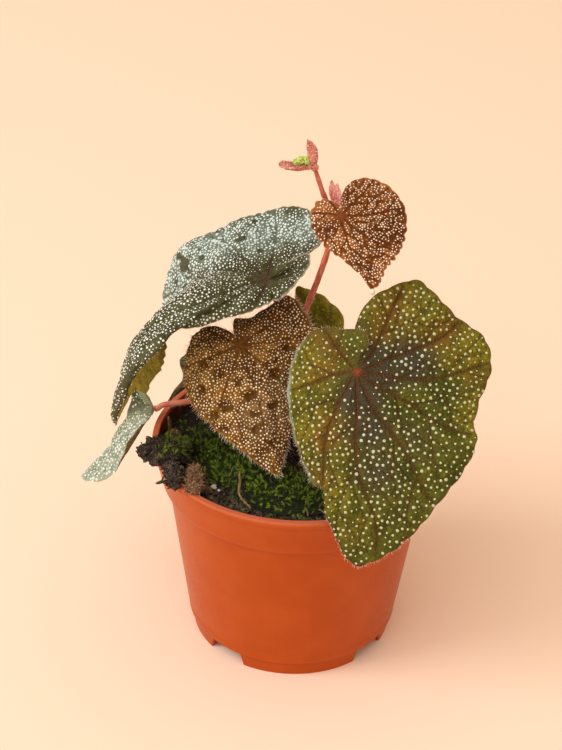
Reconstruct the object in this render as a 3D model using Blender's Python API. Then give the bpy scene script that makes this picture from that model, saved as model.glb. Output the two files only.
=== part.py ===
"""A spotted-leaf begonia growing in a 12 cm plastic nursery pot, modelled at real size.

Every length below is in millimetres and becomes metres where a mesh is made. +Z is up and z = 0 is the
ground. Places are given from the pot's own axis. Everything hangs from one empty that sets this axis a
little off the origin, so that the origin lies under the middle of the whole plant.
"""
import math
import random

import bmesh
import bpy
import numpy as np
from mathutils import Matrix, Vector, noise

# Units and fits
MM = 0.001
TOUCH_GAP = 0.3
HOLE_GAP = 0.5
POT_AXIS = (8.0, 7.0)

# Pot: a thin-walled cone with a straight collar, a lip, a recessed floor and four feet
POT_HEIGHT = 91.0
LIP_RADIUS = 60.0
LIP_WIDTH = 2.6
LIP_HEIGHT = 2.4
COLLAR_FOOT_RADIUS = 56.0
COLLAR_FOOT_HEIGHT = 73.2
BODY_TOP_RADIUS = 53.5
BEAD_RADIUS = 44.6
FOOT_RADIUS = 42.6
FOOT_HEIGHT = 6.8
WALL = 1.3
FLOOR_THICKNESS = 1.3
FOOT_COUNT = 4
NOTCH_TURN = math.radians(25)
FIRST_NOTCH = math.radians(-129.5)
NOTCH_TOP_SHARE = 0.78
NOTCH_REACH = 6.0
DRAIN_RADIUS = 4.0
DRAIN_RING = 29.0
DRAIN_DEPTH = 8.0
POT_SIDES = 48

# Heights of the pot's parts that follow from the sizes above
FLOOR_UNDER = FOOT_HEIGHT + 0.8
FLOOR_TOP = FLOOR_UNDER + FLOOR_THICKNESS
BODY_TOP_HEIGHT = COLLAR_FOOT_HEIGHT - 1.0
STEP_TOP_HEIGHT = BODY_TOP_HEIGHT + 1.2
LIP_UNDER = POT_HEIGHT - LIP_HEIGHT
LIP_INSIDE = LIP_RADIUS - LIP_WIDTH

# The pot's inside: heights, and the radius at each
INSIDE_HEIGHTS = (FLOOR_TOP, BODY_TOP_HEIGHT, STEP_TOP_HEIGHT, LIP_UNDER)
INSIDE_RADII = (BEAD_RADIUS - WALL, BODY_TOP_RADIUS - WALL, COLLAR_FOOT_RADIUS - WALL, LIP_INSIDE)

# Soil
SOIL_LEVEL = 86.5
SOIL_RISE_TO_FRONT = 0.020
SOIL_RISE_TO_RIGHT = 0.028
SOIL_BUMP = 0.6
SOIL_EDGE_HEIGHT = 84.0
SOIL_WALL_GAP = 0.4
SOIL_RING_SHARES = (1.0, 0.86, 0.68, 0.5, 0.32, 0.15)
SOIL_SIDES = 36

# Things standing in the soil, with a radius at each point
STUMP = [(-51.4, 7.2, 78.0, 2.6), (-51.4, 7.0, 82.0, 2.7), (-51.0, 6.4, 86.6, 2.5)]
STICK = [(-53.0, 11.4, 79.0, 0.6), (-53.6, 10.9, 86.0, 0.6), (-54.0, 10.2, 92.2, 0.45)]

# Moss
MOSS_MIDDLE = (-20, -20)
MOSS_THICKNESS = 5.0
MOSS_EDGE = 0.8
MOSS_BUMP = 1.1
MOSS_BUMP_SIZE = 6.0
MOSS_POINTS = 44
MOSS_RING_SHARES = (0.3, 0.55, 0.76, 0.92, 1.0)
MOSS_FOOT_SHARE = 0.97
MOSS_FOOT_HEIGHT = 80.0
MOSS_OUTLINE = [
    (-46, 5), (-47, -3), (-41, -9), (-39, -17), (-37, -23), (-31, -30), (-22, -38), (-14, -47), (0, -51),
    (13, -48), (17, -39), (8, -28), (-4, -18), (-10, -6), (-24, 2), (-36, 9),
]

# Bark and fibre lying on the soil and the lip: the middle of each lump, then its half sizes
RIM_CLUMP = [
    (-60.6, -18.5, 94.0, 3.4, 3.2, 2.6), (-57.0, -14.0, 94.6, 4.4, 3.6, 3.2),
    (-56.0, -22.0, 94.0, 4.4, 3.8, 2.9), (-51.0, -12.5, 93.6, 5.0, 4.0, 4.2),
    (-51.0, -19.5, 93.4, 5.2, 4.4, 4.6), (-47.0, -14.5, 91.4, 3.4, 4.4, 4.2),
]
FRONT_CLUMP = [
    (-50.2, -30.0, 93.4, 3.4, 3.4, 2.6), (-48.4, -33.4, 93.2, 3.2, 3.4, 2.8),
    (-48.6, -37.0, 92.8, 2.4, 2.4, 2.0),
]
TUFT = [
    (-41.2, -30.6, 91.6, 2.9, 3.4, 3.4), (-41.0, -36.0, 91.6, 2.9, 3.8, 3.2),
    (-40.4, -40.8, 92.4, 2.2, 2.4, 2.2),
]
CHIP = [(-35.6, -35.2, 87.4, 2.6, 1.8, 1.5)]
LUMP_GRAIN = 1.7
LUMP_TURN = 0.4

# A ring a little larger than the lip, which hollows what lies over it
LIP_CLEAR_PROFILE = [(56.5, 91.35), (60.3, 91.35), (60.3, 80.0), (56.5, 80.0), (56.5, 91.35)]

# Blades
BLADE_THICKNESS = 0.8
WIDEST_FAN = math.radians(335)
EVEN_SHARE = 0.2
ROW_PLACES = (0.22, 0.45, 0.68, 0.86, 1.0)
ROW_STRIDES = (4, 2, 2, 1, 1)

# Blade outlines are written in three slanting directions, as the plant is seen from the front and
# 32 degrees above: across to the right, up, and nearer. These are their directions in the room.
LOOK_DOWN = math.radians(31.9)
LEAN = math.radians(1.8)
UPRIGHT = np.array([0, math.sin(LOOK_DOWN), math.cos(LOOK_DOWN)])
RIGHTWARD = np.array([1.0, 0, 0])
ACROSS = math.cos(LEAN) * RIGHTWARD + math.sin(LEAN) * UPRIGHT
UP = math.cos(LEAN) * UPRIGHT - math.sin(LEAN) * RIGHTWARD
NEAR = np.array([0, -math.cos(LOOK_DOWN), math.sin(LOOK_DOWN)])
SLANTING = np.stack([ACROSS, UP, NEAR])

# Colours: base colour, roughness
TERRACOTTA = ((0.62, 0.19, 0.07), 0.45)
POTTING_SOIL = ((0.035, 0.025, 0.018), 0.95)
MOSS_GREEN = ((0.07, 0.15, 0.03), 0.9)
BARK_BLACK = ((0.045, 0.038, 0.035), 0.9)
FIBRE_TAN = ((0.32, 0.18, 0.09), 0.9)
CHIP_BROWN = ((0.20, 0.10, 0.05), 0.85)
STUMP_RED = ((0.22, 0.05, 0.03), 0.7)
STICK_TAN = ((0.33, 0.27, 0.15), 0.8)
STEM_RED = ((0.42, 0.09, 0.05), 0.4)
OLIVE_GREEN = ((0.16, 0.17, 0.04), 0.5)
BRONZE = ((0.27, 0.13, 0.03), 0.5)
SILVER_GREEN = ((0.30, 0.36, 0.31), 0.4)
RUST = ((0.22, 0.08, 0.03), 0.5)
DULL_OLIVE = ((0.13, 0.16, 0.04), 0.6)
DEEP_GREEN = ((0.05, 0.09, 0.03), 0.6)
CORAL = ((0.55, 0.13, 0.09), 0.5)
LIME = ((0.45, 0.55, 0.12), 0.5)
BLUSH = ((0.75, 0.25, 0.22), 0.5)

# The cane, from its buried end to the tip under the young leaf, with its radius at each point
CANE = [
    (-18.0, 11.0, 58.0, 2.1), (-17.5, 10.5, 82.0, 2.1), (-14.0, 10.0, 100.0, 1.9), (-7.0, 9.5, 124.0, 1.8),
    (1.1, 9.0, 145.7, 1.75), (8.8, 5.0, 174.8, 1.65), (11.2, 4.0, 190.7, 1.75), (7.0, 3.5, 199.3, 1.35),
    (3.1, 2.0, 210.8, 1.2),
]
CANE_STEPS = 34
CANE_HOLE_TOP = 100.0
STALK_RADIUS = 1.5
STALK_END_RADIUS = 1.15
STALK_FOOT_FLARE = 0.35
STALK_STEPS = 14
STALK_CLEAR = BLADE_THICKNESS / 2 + TOUCH_GAP + 0.15
STALK_STRAIGHT = 2.2
TUBE_RESOLUTION = 2

# Small folded lobes: how far a rib runs straight, ribs in a lobe, and the scallops of the edge
LOBE_REACH = 0.6
LOBE_RAYS = 13
LOBE_SCALLOP = (0.25, 2.4)

# The young leaf at the cane's tip, its outlines across, up and nearer
YOUNG_BASE = (2.6, 1.8, 212.6)
HOOD_FACING = (1, 0.1, 0.05)
HOOD_ARCH = 0.34
HOOD_ENDS = [
    (-1.4, 0.8, 2.0), (-2.2, 3.2, 3.4), (-2.7, 6.2, 3.2), (-3.0, 8.6, 1.8), (-2.8, 10.9, 0.0),
    (-3.0, 8.6, -1.8), (-2.8, 6.2, -3.2), (-2.4, 3.2, -3.4), (-1.6, 0.8, -2.0),
]
LIP_FACING = (-0.1, -1, 0.05)
LIP_ARCH = 0.24
LIP_ENDS = [
    (-1.4, 0.6, 2.4), (-4.4, 0.8, 3.6), (-7.4, 0.4, 3.2), (-10.6, 0.4, 2.2), (-13.4, 1.2, 0.0),
    (-11.2, 2.4, -2.2), (-8.0, 2.2, -3.4), (-4.6, 2.0, -3.8), (-1.6, 1.2, -2.4),
]
KNOB_RADIUS = 1.5
HEART_LUMPS = [
    (-0.5, 1.7, 214.8, 1.6, 1.6, 1.6), (-2.8, 1.6, 214.8, 1.6, 1.7, 1.5), (-4.6, 1.7, 214.4, 1.3, 1.4, 1.2),
]

# The scales at the foot of the top leaf's stalk
STIPULE_BASE = (12.3, 5.3, 194.4)
STIPULE_FACING = (0.15, 0.1, 1)
STIPULE_ARCH = 0.04
STIPULE_ENDS = [
    (-0.6, 0.6, 1.0), (-2.2, 3.6, 1.2), (-2.6, 7.0, 0.6), (-1.9, 10.6, 0.0), (-0.9, 7.6, -0.6),
    (0.1, 6.4, -0.8), (0.5, 8.4, -0.6), (0.9, 5.4, 0.2), (0.9, 2.6, 0.8), (0.7, 0.6, 0.8),
]


class Blade:
    """One leaf: where its stalk joins it, which way it faces there, its outline and its stalk's route.

    Each outline point is (across, up, nearer) from the junction, and may add how far the rib to it
    arches along the facing direction and how far it runs straight before it bends.
    side is 1 where the stalk comes to the back of the facing side, and -1 where it comes to the front.
    """

    def __init__(self, name, colour, junction, facing, outline, rays, scallop, ripple, stalk, side=1):
        self.name = name
        self.colour = colour
        self.junction = np.array(junction, float)
        facing = np.array(facing, float)
        self.facing = facing / np.linalg.norm(facing)
        self.outline = outline
        self.rays = rays
        self.scallop = scallop
        self.ripple = ripple
        self.stalk = stalk
        self.side = side


BLADES = [
    Blade(
        "right", OLIVE_GREEN, (21, -34, 145), (0.05, 0.10, 1),
        [(5, 10, 2), (3, 15, 1), (-5, 16, -3), (-15, 16, -7), (-23, 7, -12), (-26, -7, -12),
         (-24, -23, -10), (-20, -36, -6), (-17, -42, -4), (-12, -46, -2), (-12, -53, 0), (-7, -65, 0),
         (-4, -71, 0), (0, -74, 0), (11, -70, 1), (22, -61, 2), (32, -49, 2), (42, -36, 0), (46, -26, -1),
         (45, -22, -2), (47, -12, -3), (52, 1, -6), (50, 12, -8), (39, 21, -8), (31, 29, -7), (24, 35, -9),
         (15, 33, -8), (5, 27, -6), (0, 18, -4), (-1, 10, -3)],
        rays=129, scallop=(0.7, 8.5), ripple=(0.4, 24.0),
        stalk=[(-5.5, 9.4, 128), (3, 8, 129), (10, 1, 131), (15, -12, 135), (19, -26, 140)],
    ),
    Blade(
        "front", BRONZE, (-24, -8, 139), (0, 0.3, 1),
        [(-2, 4, -1), (-5, 6, -3), (-12, 8, -6), (-19, 4, -8), (-22, -5, -9), (-22, -16, -8),
         (-18, -25, -6), (-10, -33, -3), (0, -41, -1), (8, -47, 0), (15, -51, 1), (17, -44, -1),
         (20, -34, -3), (24, -21, -5), (28, -7, -6), (29, 5, -6), (25, 14, -6), (19, 20, -7), (10, 15, -7),
         (3, 11, -6), (-2, 11, -6), (-3, 8, -5), (-2, 3, -2)],
        rays=97, scallop=(0.6, 6.5), ripple=(0.4, 15.0),
        stalk=[(-8, 9.6, 120.5), (-12, 8.5, 127), (-18.5, 3, 132)],
    ),
    Blade(
        "silver", SILVER_GREEN, (-14, 5, 162), (0, 0.70, 0.71),
        [(8, 7, 3), (16, 10, 5), (16, 5, 7), (10, -3, 8, 2, 0.5), (4, -8, 9, 3, 0.5), (-5, -12, 10, 4, 0.5),
         (-17, -16, 11, 5, 0.5), (-27, -20, 12, 6, 0.55), (-37, -23, 12, 7, 0.6), (-44, -29, 12, 8, 0.65),
         (-51, -39, 9, 8, 0.72), (-56, -47, 2, 9, 0.8), (-61, -58, -12, 9, 0.85), (-59, -52, -18, 9, 0.88),
         (-54, -44, -22, 9, 0.9), (-50, -45, -25, 9, 0.9), (-48, -40, -28, 8, 0.85),
         (-44, -35, -31, 7, 0.75), (-43, -27, -35, 5, 0.65), (-43, -17, -39, 3, 0.55), (-44, -5, -41),
         (-41, 7, -39), (-36, 16, -36), (-26, 20, -32), (-12, 26, -28), (3, 30, -24), (15, 30, -18),
         (20, 23, -12), (21, 15, -8), (15, 12, -3)],
        rays=129, scallop=(0.5, 6.0), ripple=(0.4, 18.0),
        stalk=[(-3, 9.2, 135), (-8, 13.5, 143), (-12, 12.5, 152), (-13.6, 8.3, 158.4)],
    ),
    Blade(
        "top", RUST, (13, -5, 196), (0.10, 0.20, 1),
        [(0, 4, -1), (-4, 6, -1), (-8, 6, -2), (-11, 1, -3), (-10, -5, -3), (-6, -11, -2), (-1, -15, -1),
         (5, -20, 0), (9, -24, 1), (12, -28, 2), (15, -25, 1), (17, -20, 0), (22, -14, -2), (25, -6, -5),
         (25, 3, -7), (20, 11, -8), (12, 15, -8), (5, 14, -7), (1, 9, -4), (1, 4, -1)],
        rays=73, scallop=(0.5, 4.5), ripple=(0.3, 9.0),
        stalk=[(11.1, 4, 189.6), (12, 0, 191.2)],
    ),
    Blade(
        "left", SILVER_GREEN, (-61, 14, 95), (-0.64, 0.62, 0.45),
        [(1, -2, 2), (-1, -5, 5), (-4, -8, 8), (-7, -11, 9), (-10, -16, 9), (-13, -23, 7), (-17, -29, 4),
         (-24, -32, 1), (-29, -30, -2), (-26, -26, -7), (-23, -23, -11), (-19, -18, -15), (-18, -13, -17),
         (-15, -9, -17), (-12, -4, -15), (-10, 3, -13), (-10, 8, -12), (-7, 9, -9), (-4, 4, -5),
         (-1, 1, -2)],
        rays=65, scallop=(0.4, 5.0), ripple=(0.3, 9.0),
        stalk=[(-16.4, 10.3, 91), (-25, 10.6, 96.5), (-34, 11, 99.3), (-44, 12, 99.4), (-50.3, 13, 97.6),
               (-56.6, 14, 95.7)],
    ),
    Blade(
        "back_right", DULL_OLIVE, (8, 38, 108), (0, 0.2, 1),
        [(-3, 3, -1), (-8, 4, -3), (-11, 13, -4), (-10, 22, -3), (-9, 29, 0), (-4, 28, -1), (1, 26, -3),
         (6, 22, -4), (10, 18, -5), (11, 11, -5), (8, 3, -3), (3, 0, -1)],
        rays=49, scallop=(0.5, 6.0), ripple=(0.4, 11.0),
        stalk=[(-14.3, 10.1, 99), (-8, 17, 101), (1, 27, 105), (6.3, 34, 108.3)], side=-1,
    ),
    Blade(
        "back_left", DEEP_GREEN, (-37, 46, 103), (0.40, -0.85, 0.36),
        [(-3, 2, -1), (-9, 1, -4), (-15, -3, -8), (-14, -9, -11), (-15, -15, -14), (-19, -20, -17),
         (-22, -24, -20), (-18, -32, -24), (-10, -35, -27), (-2, -31, -28), (7, -23, -27), (11, -14, -23),
         (9, -4, -15), (3, 1, -5)],
        rays=49, scallop=(0.5, 6.0), ripple=(0.4, 11.0),
        stalk=[(-16.8, 10.4, 86.5), (-23, 20, 95), (-30, 33, 102.5), (-35.2, 41.5, 105)], side=-1,
    ),
]


def clear_scene():
    for obj in list(bpy.data.objects):
        bpy.data.objects.remove(obj, do_unlink=True)


def material(name, colour):
    """A Principled material with this base colour and roughness."""
    base, roughness = colour
    made = bpy.data.materials.new(name)
    made.use_nodes = True
    shader = made.node_tree.nodes["Principled BSDF"]
    shader.inputs["Base Color"].default_value = (*base, 1)
    shader.inputs["Roughness"].default_value = roughness
    shader.inputs["Metallic"].default_value = 0
    made.diffuse_color = (*base, 1)
    return made


def add_object(name, data, place=(0, 0, 0), colour=None):
    """An object at a place in millimetres from the pot's axis. With a colour it is a piece of the plant."""
    made = bpy.data.objects.new(name, data)
    made.location = Vector(place) * MM
    bpy.context.scene.collection.objects.link(made)
    if colour:
        data.materials.clear()
        data.materials.append(material(name, colour))
        made.parent = PLANT
    return made


def mesh_from(name, points, faces):
    """A mesh from points in millimetres, with its faces turned outwards."""
    mesh = bpy.data.meshes.new(name)
    mesh.from_pydata([tuple(float(v) * MM for v in p) for p in points], [], faces)
    solid = bmesh.new()
    solid.from_mesh(mesh)
    bmesh.ops.recalc_face_normals(solid, faces=solid.faces)
    solid.to_mesh(mesh)
    solid.free()
    return mesh


def helper(obj):
    """Marks a cutter or a guide, which isn't part of the plant."""
    obj.hide_render = True
    obj.display_type = "WIRE"
    return obj


def boolean(obj, other, operation="DIFFERENCE"):
    cut = obj.modifiers.new(operation.title(), "BOOLEAN")
    cut.operation = operation
    cut.solver = "EXACT"
    cut.object = other
    return cut


def boolean_all(obj, collection, operation):
    """One Boolean with everything in a collection."""
    cut = obj.modifiers.new(operation.title(), "BOOLEAN")
    cut.operation = operation
    cut.solver = "EXACT"
    cut.operand_type = "COLLECTION"
    cut.collection = collection


def evaluated_copy(obj):
    """The object's mesh with its modifiers applied."""
    graph = bpy.context.evaluated_depsgraph_get()
    return bpy.data.meshes.new_from_object(obj.evaluated_get(graph))


def apply_modifiers(obj):
    bpy.context.view_layer.update()
    applied = evaluated_copy(obj)
    obj.modifiers.clear()
    obj.data = applied


def smooth_shade(obj, sharp_above=40):
    obj.data.shade_smooth()
    obj.data.set_sharp_from_angle(angle=math.radians(sharp_above))


def smooth_through(points, count):
    """Points spaced evenly along a centripetal Catmull-Rom curve through the given ones."""
    given = np.asarray(points, float)
    p = np.vstack([2 * given[0] - given[1], given, 2 * given[-1] - given[-2]])
    steps = np.linalg.norm(np.diff(p[:, :3], axis=0), axis=1)
    t = np.concatenate([[0], np.cumsum(np.sqrt(steps))])
    fine = []
    for i in range(1, len(p) - 2):
        u = np.linspace(t[i], t[i + 1], 24, endpoint=False)[:, None]

        def between(low, high, first, last):
            return ((t[high] - u) * first + (u - t[low]) * last) / (t[high] - t[low])

        a = [between(k, k + 1, p[k], p[k + 1]) for k in (i - 1, i, i + 1)]
        b = [between(i - 1, i + 1, a[0], a[1]), between(i, i + 2, a[1], a[2])]
        fine.append(between(i, i + 1, b[0], b[1]))
    fine = np.vstack([*fine, given[-1:]])
    along = np.concatenate([[0], np.cumsum(np.linalg.norm(np.diff(fine[:, :3], axis=0), axis=1))])
    at = np.linspace(0, along[-1], count)
    spaced = np.stack([np.interp(at, along, fine[:, k]) for k in range(fine.shape[1])], 1)
    return spaced, at


def tube_mesh(name, route, grow=0.0):
    """A round tube's mesh along (x, y, z, radius) points in millimetres."""
    curve = bpy.data.curves.new(name, "CURVE")
    curve.dimensions = "3D"
    curve.bevel_depth = MM
    curve.bevel_resolution = TUBE_RESOLUTION
    curve.use_fill_caps = True
    spline = curve.splines.new("POLY")
    spline.points.add(len(route) - 1)
    for point, (x, y, z, radius) in zip(spline.points, route):
        point.co = (x * MM, y * MM, z * MM, 1)
        point.radius = radius + grow
    guide = bpy.data.objects.new(name, curve)
    bpy.context.scene.collection.objects.link(guide)
    mesh = evaluated_copy(guide)
    bpy.data.objects.remove(guide, do_unlink=True)
    welded = bmesh.new()
    welded.from_mesh(mesh)
    bmesh.ops.remove_doubles(welded, verts=welded.verts, dist=1e-7)
    bmesh.ops.triangulate(welded, faces=[f for f in welded.faces if len(f.verts) > 4])
    bmesh.ops.recalc_face_normals(welded, faces=welded.faces)
    welded.to_mesh(mesh)
    welded.free()
    return mesh


def turned(name, profile, sides):
    """An object turned about Z from (radius, height) points in millimetres, its outer side top to bottom."""
    mesh = bpy.data.meshes.new(name)
    points = [(radius * MM, 0, height * MM) for radius, height in profile]
    mesh.from_pydata(points, [(i, i + 1) for i in range(len(points) - 1)], [])
    obj = add_object(name, mesh)
    screw = obj.modifiers.new("Turn", "SCREW")
    screw.steps = sides
    screw.render_steps = sides
    screw.use_merge_vertices = True
    screw.merge_threshold = 1e-5
    return obj


def inner_radius(height):
    """The pot's inside radius at a height above its floor."""
    return float(np.interp(height, INSIDE_HEIGHTS, INSIDE_RADII))


def pot_profile():
    """Half of the pot's section, from the lip's top down the outside, then the underside and the inside."""
    outside = [
        (LIP_INSIDE + 0.5, POT_HEIGHT),
        (LIP_RADIUS - 0.6, POT_HEIGHT),
        (LIP_RADIUS, POT_HEIGHT - 0.6),
        (LIP_RADIUS, LIP_UNDER + 0.3),
        (LIP_RADIUS - 0.5, LIP_UNDER),
        (COLLAR_FOOT_RADIUS, COLLAR_FOOT_HEIGHT + 0.5),
        (COLLAR_FOOT_RADIUS - 0.5, COLLAR_FOOT_HEIGHT),
        (BODY_TOP_RADIUS, BODY_TOP_HEIGHT),
        (BEAD_RADIUS, FLOOR_UNDER),
        (BEAD_RADIUS, FOOT_HEIGHT + 0.2),
        (FOOT_RADIUS + 0.6, FOOT_HEIGHT - 0.3),
        (FOOT_RADIUS, 0.3),
        (FOOT_RADIUS - 0.3, 0),
    ]
    underside = [
        (FOOT_RADIUS - WALL, 0),
        (FOOT_RADIUS - WALL + 0.4, FLOOR_UNDER),
        (0, FLOOR_UNDER),
        (0, FLOOR_TOP),
    ]
    inside = [
        (inner_radius(FLOOR_TOP) - 0.6, FLOOR_TOP),
        (inner_radius(FLOOR_TOP + 0.6), FLOOR_TOP + 0.6),
        *zip(INSIDE_RADII[1:], INSIDE_HEIGHTS[1:]),
        (LIP_INSIDE, POT_HEIGHT - 0.5),
        (LIP_INSIDE + 0.5, POT_HEIGHT),
    ]
    return outside + underside + inside


def make_pot():
    """The pot: a turned section, with four notches that leave its feet and with five drain holes."""
    pot = turned("pot", pot_profile(), POT_SIDES)
    pot.data.materials.append(material("pot", TERRACOTTA))
    pot.parent = PLANT
    cutters = bpy.data.collections.new("pot cutters")
    bpy.context.scene.collection.children.link(cutters)
    for index in range(FOOT_COUNT):
        turn = FIRST_NOTCH + index * 2 * math.pi / FOOT_COUNT
        move_to(notch_cutter(turn), cutters)
        move_to(drain_cutter(DRAIN_RING * math.cos(turn), DRAIN_RING * math.sin(turn)), cutters)
    move_to(drain_cutter(0, 0), cutters)
    boolean_all(pot, cutters, "DIFFERENCE")


def move_to(obj, collection):
    """Puts a cutter or a lump into this collection, out of the render."""
    for holder in list(obj.users_collection):
        holder.objects.unlink(obj)
    collection.objects.link(obj)
    helper(obj)
    obj.parent = PLANT


def notch_cutter(turn):
    """A block as wide as the gap between two feet, a little narrower at its top."""
    inner, outer = FOOT_RADIUS - NOTCH_REACH, FOOT_RADIUS + NOTCH_REACH
    corners = []
    for height, share in ((-1.0, 1.0), (FOOT_HEIGHT, NOTCH_TOP_SHARE)):
        for radius, side in ((inner, -1), (outer, -1), (outer, 1), (inner, 1)):
            angle = turn + side * share * NOTCH_TURN / 2
            corners.append((radius * math.cos(angle), radius * math.sin(angle), height))
    faces = [(0, 1, 2, 3), (4, 5, 6, 7), (0, 1, 5, 4), (1, 2, 6, 5), (2, 3, 7, 6), (3, 0, 4, 7)]
    return add_object("notch cutter", mesh_from("notch cutter", corners, faces))


def drain_cutter(x, y):
    mesh = bpy.data.meshes.new("drain cutter")
    solid = bmesh.new()
    bmesh.ops.create_cone(
        solid, cap_ends=True, segments=16, radius1=DRAIN_RADIUS * MM, radius2=DRAIN_RADIUS * MM,
        depth=DRAIN_DEPTH * MM, matrix=Matrix.Translation(Vector((x, y, FLOOR_UNDER)) * MM),
    )
    solid.to_mesh(mesh)
    solid.free()
    return add_object("drain cutter", mesh)


def soil_height(x, y):
    """The height of the soil's surface, lowest at the back and left, with low bumps."""
    slope = SOIL_LEVEL - SOIL_RISE_TO_FRONT * y + SOIL_RISE_TO_RIGHT * x
    return slope + SOIL_BUMP * math.sin(x / 8.0 + 1) * math.cos(y / 9.0)


def soil_mesh(name, lift=0.0):
    """The soil as one solid: bottom, side against the pot's wall, and an uneven top."""
    floor = FLOOR_TOP + TOUCH_GAP
    side = [
        (inner_radius(FLOOR_TOP) - 3 * TOUCH_GAP, floor),
        (inner_radius(BODY_TOP_HEIGHT) - SOIL_WALL_GAP, BODY_TOP_HEIGHT + 0.1),
        (inner_radius(STEP_TOP_HEIGHT) - SOIL_WALL_GAP, STEP_TOP_HEIGHT + SOIL_WALL_GAP),
    ]
    angles = [2 * math.pi * k / SOIL_SIDES for k in range(SOIL_SIDES)]
    rings = [[(r * math.cos(a), r * math.sin(a), z) for a in angles] for r, z in side]
    for share in SOIL_RING_SHARES:
        radius = share * (inner_radius(SOIL_EDGE_HEIGHT) - SOIL_WALL_GAP)
        ring = [(radius * math.cos(a), radius * math.sin(a)) for a in angles]
        rings.append([(x, y, soil_height(x, y) + lift) for x, y in ring])
    points = [p for ring in rings for p in ring]
    faces = []
    for low in range(len(rings) - 1):
        for k in range(SOIL_SIDES):
            after = (k + 1) % SOIL_SIDES
            a, b = low * SOIL_SIDES + k, low * SOIL_SIDES + after
            faces += [(a, b, b + SOIL_SIDES), (a, b + SOIL_SIDES, a + SOIL_SIDES)]
    bottom, middle = len(points), len(points) + 1
    points += [(0, 0, floor), (0, 0, soil_height(0, 0) + lift)]
    last = (len(rings) - 1) * SOIL_SIDES
    for k in range(SOIL_SIDES):
        after = (k + 1) % SOIL_SIDES
        faces += [(after, k, bottom), (last + k, last + after, middle)]
    return mesh_from(name, points, faces)


def make_soil():
    """The soil, with a plain hole for each thing that stands in it."""
    soil = add_object("soil", soil_mesh("soil"), colour=POTTING_SOIL)
    buried_cane = [point for point in CANE_ROUTE if point[2] < CANE_HOLE_TOP]
    for name, route in (("cane", buried_cane), ("stump", STUMP), ("stick", STICK)):
        x, y, z, radius = route[0]
        hole_route = [(x, y, z - HOLE_GAP, radius), *route]
        hole = add_object(f"{name} hole", tube_mesh(f"{name} hole", hole_route, grow=HOLE_GAP))
        hole.parent = PLANT
        boolean(soil, helper(hole))


def make_moss(soil_clear):
    """A low mound of moss on the front half of the soil, hollowed underneath to the soil's surface."""
    outline, _ = smooth_through(MOSS_OUTLINE + MOSS_OUTLINE[:1], MOSS_POINTS + 1)
    middle = np.array(MOSS_MIDDLE, float)
    spokes = outline[:-1] - middle
    points = []
    for share in MOSS_RING_SHARES:
        for x, y in middle + spokes * share:
            rise = MOSS_THICKNESS * (1 - share**3) + MOSS_EDGE
            bump = MOSS_BUMP * noise.noise(Vector((x, y, 0)) / MOSS_BUMP_SIZE) * (1 - share**6)
            points.append((x, y, soil_height(x, y) + rise + bump))
    points += [(x, y, MOSS_FOOT_HEIGHT) for x, y in middle + spokes * MOSS_FOOT_SHARE]
    faces = []
    count, rings = MOSS_POINTS, len(MOSS_RING_SHARES)
    for ring in range(rings):
        for k in range(count):
            a, b = ring * count + k, ring * count + (k + 1) % count
            faces += [(a, a + count, b + count), (a, b + count, b)]
    top, bottom = len(points), len(points) + 1
    points += [(*middle, soil_height(*middle) + MOSS_THICKNESS + MOSS_EDGE), (*middle, MOSS_FOOT_HEIGHT)]
    for k in range(count):
        after = (k + 1) % count
        faces += [(k, after, top), (rings * count + after, rings * count + k, bottom)]
    moss = add_object("moss_mat", mesh_from("moss_mat", points, faces), colour=MOSS_GREEN)
    boolean(moss, soil_clear)


def lump_mesh(name, lump, draw, roughness):
    """A rough ball drawn out to a lump's half sizes and turned a little."""
    x, y, z, wide, deep, high = lump
    solid = bmesh.new()
    bmesh.ops.create_icosphere(solid, subdivisions=2, radius=1)
    shift = Vector((draw.uniform(0, 50), draw.uniform(0, 50), draw.uniform(0, 50)))
    for vert in solid.verts:
        vert.co *= 1 + roughness * noise.noise(vert.co * LUMP_GRAIN + shift)
    place = Matrix.Translation(Vector((x, y, z)) * MM)
    turn = Matrix.Rotation(draw.uniform(-LUMP_TURN, LUMP_TURN), 4, "Z")
    size = Matrix.Diagonal((wide * MM, deep * MM, high * MM, 1))
    bmesh.ops.transform(solid, verts=solid.verts, matrix=place @ turn @ size)
    mesh = bpy.data.meshes.new(name)
    solid.to_mesh(mesh)
    solid.free()
    return mesh


def make_clump(name, lumps, colour, seed, roughness, neighbours):
    """Broken lumps fused into one piece, and hollowed where its neighbours are."""
    draw = random.Random(seed)
    clump = add_object(name, lump_mesh(name, lumps[0], draw, roughness))
    clump.parent = PLANT
    if len(lumps) > 1:
        others = bpy.data.collections.new(name + " lumps")
        bpy.context.scene.collection.children.link(others)
        for lump in lumps[1:]:
            move_to(add_object(name + " lump", lump_mesh(name + " lump", lump, draw, roughness)), others)
        boolean_all(clump, others, "UNION")
        apply_modifiers(clump)
        for lump in list(others.objects):
            bpy.data.objects.remove(lump, do_unlink=True)
        bpy.data.collections.remove(others)
    clump.data.materials.clear()
    clump.data.materials.append(material(name, colour))
    for neighbour in neighbours:
        boolean(clump, neighbour)


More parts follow.
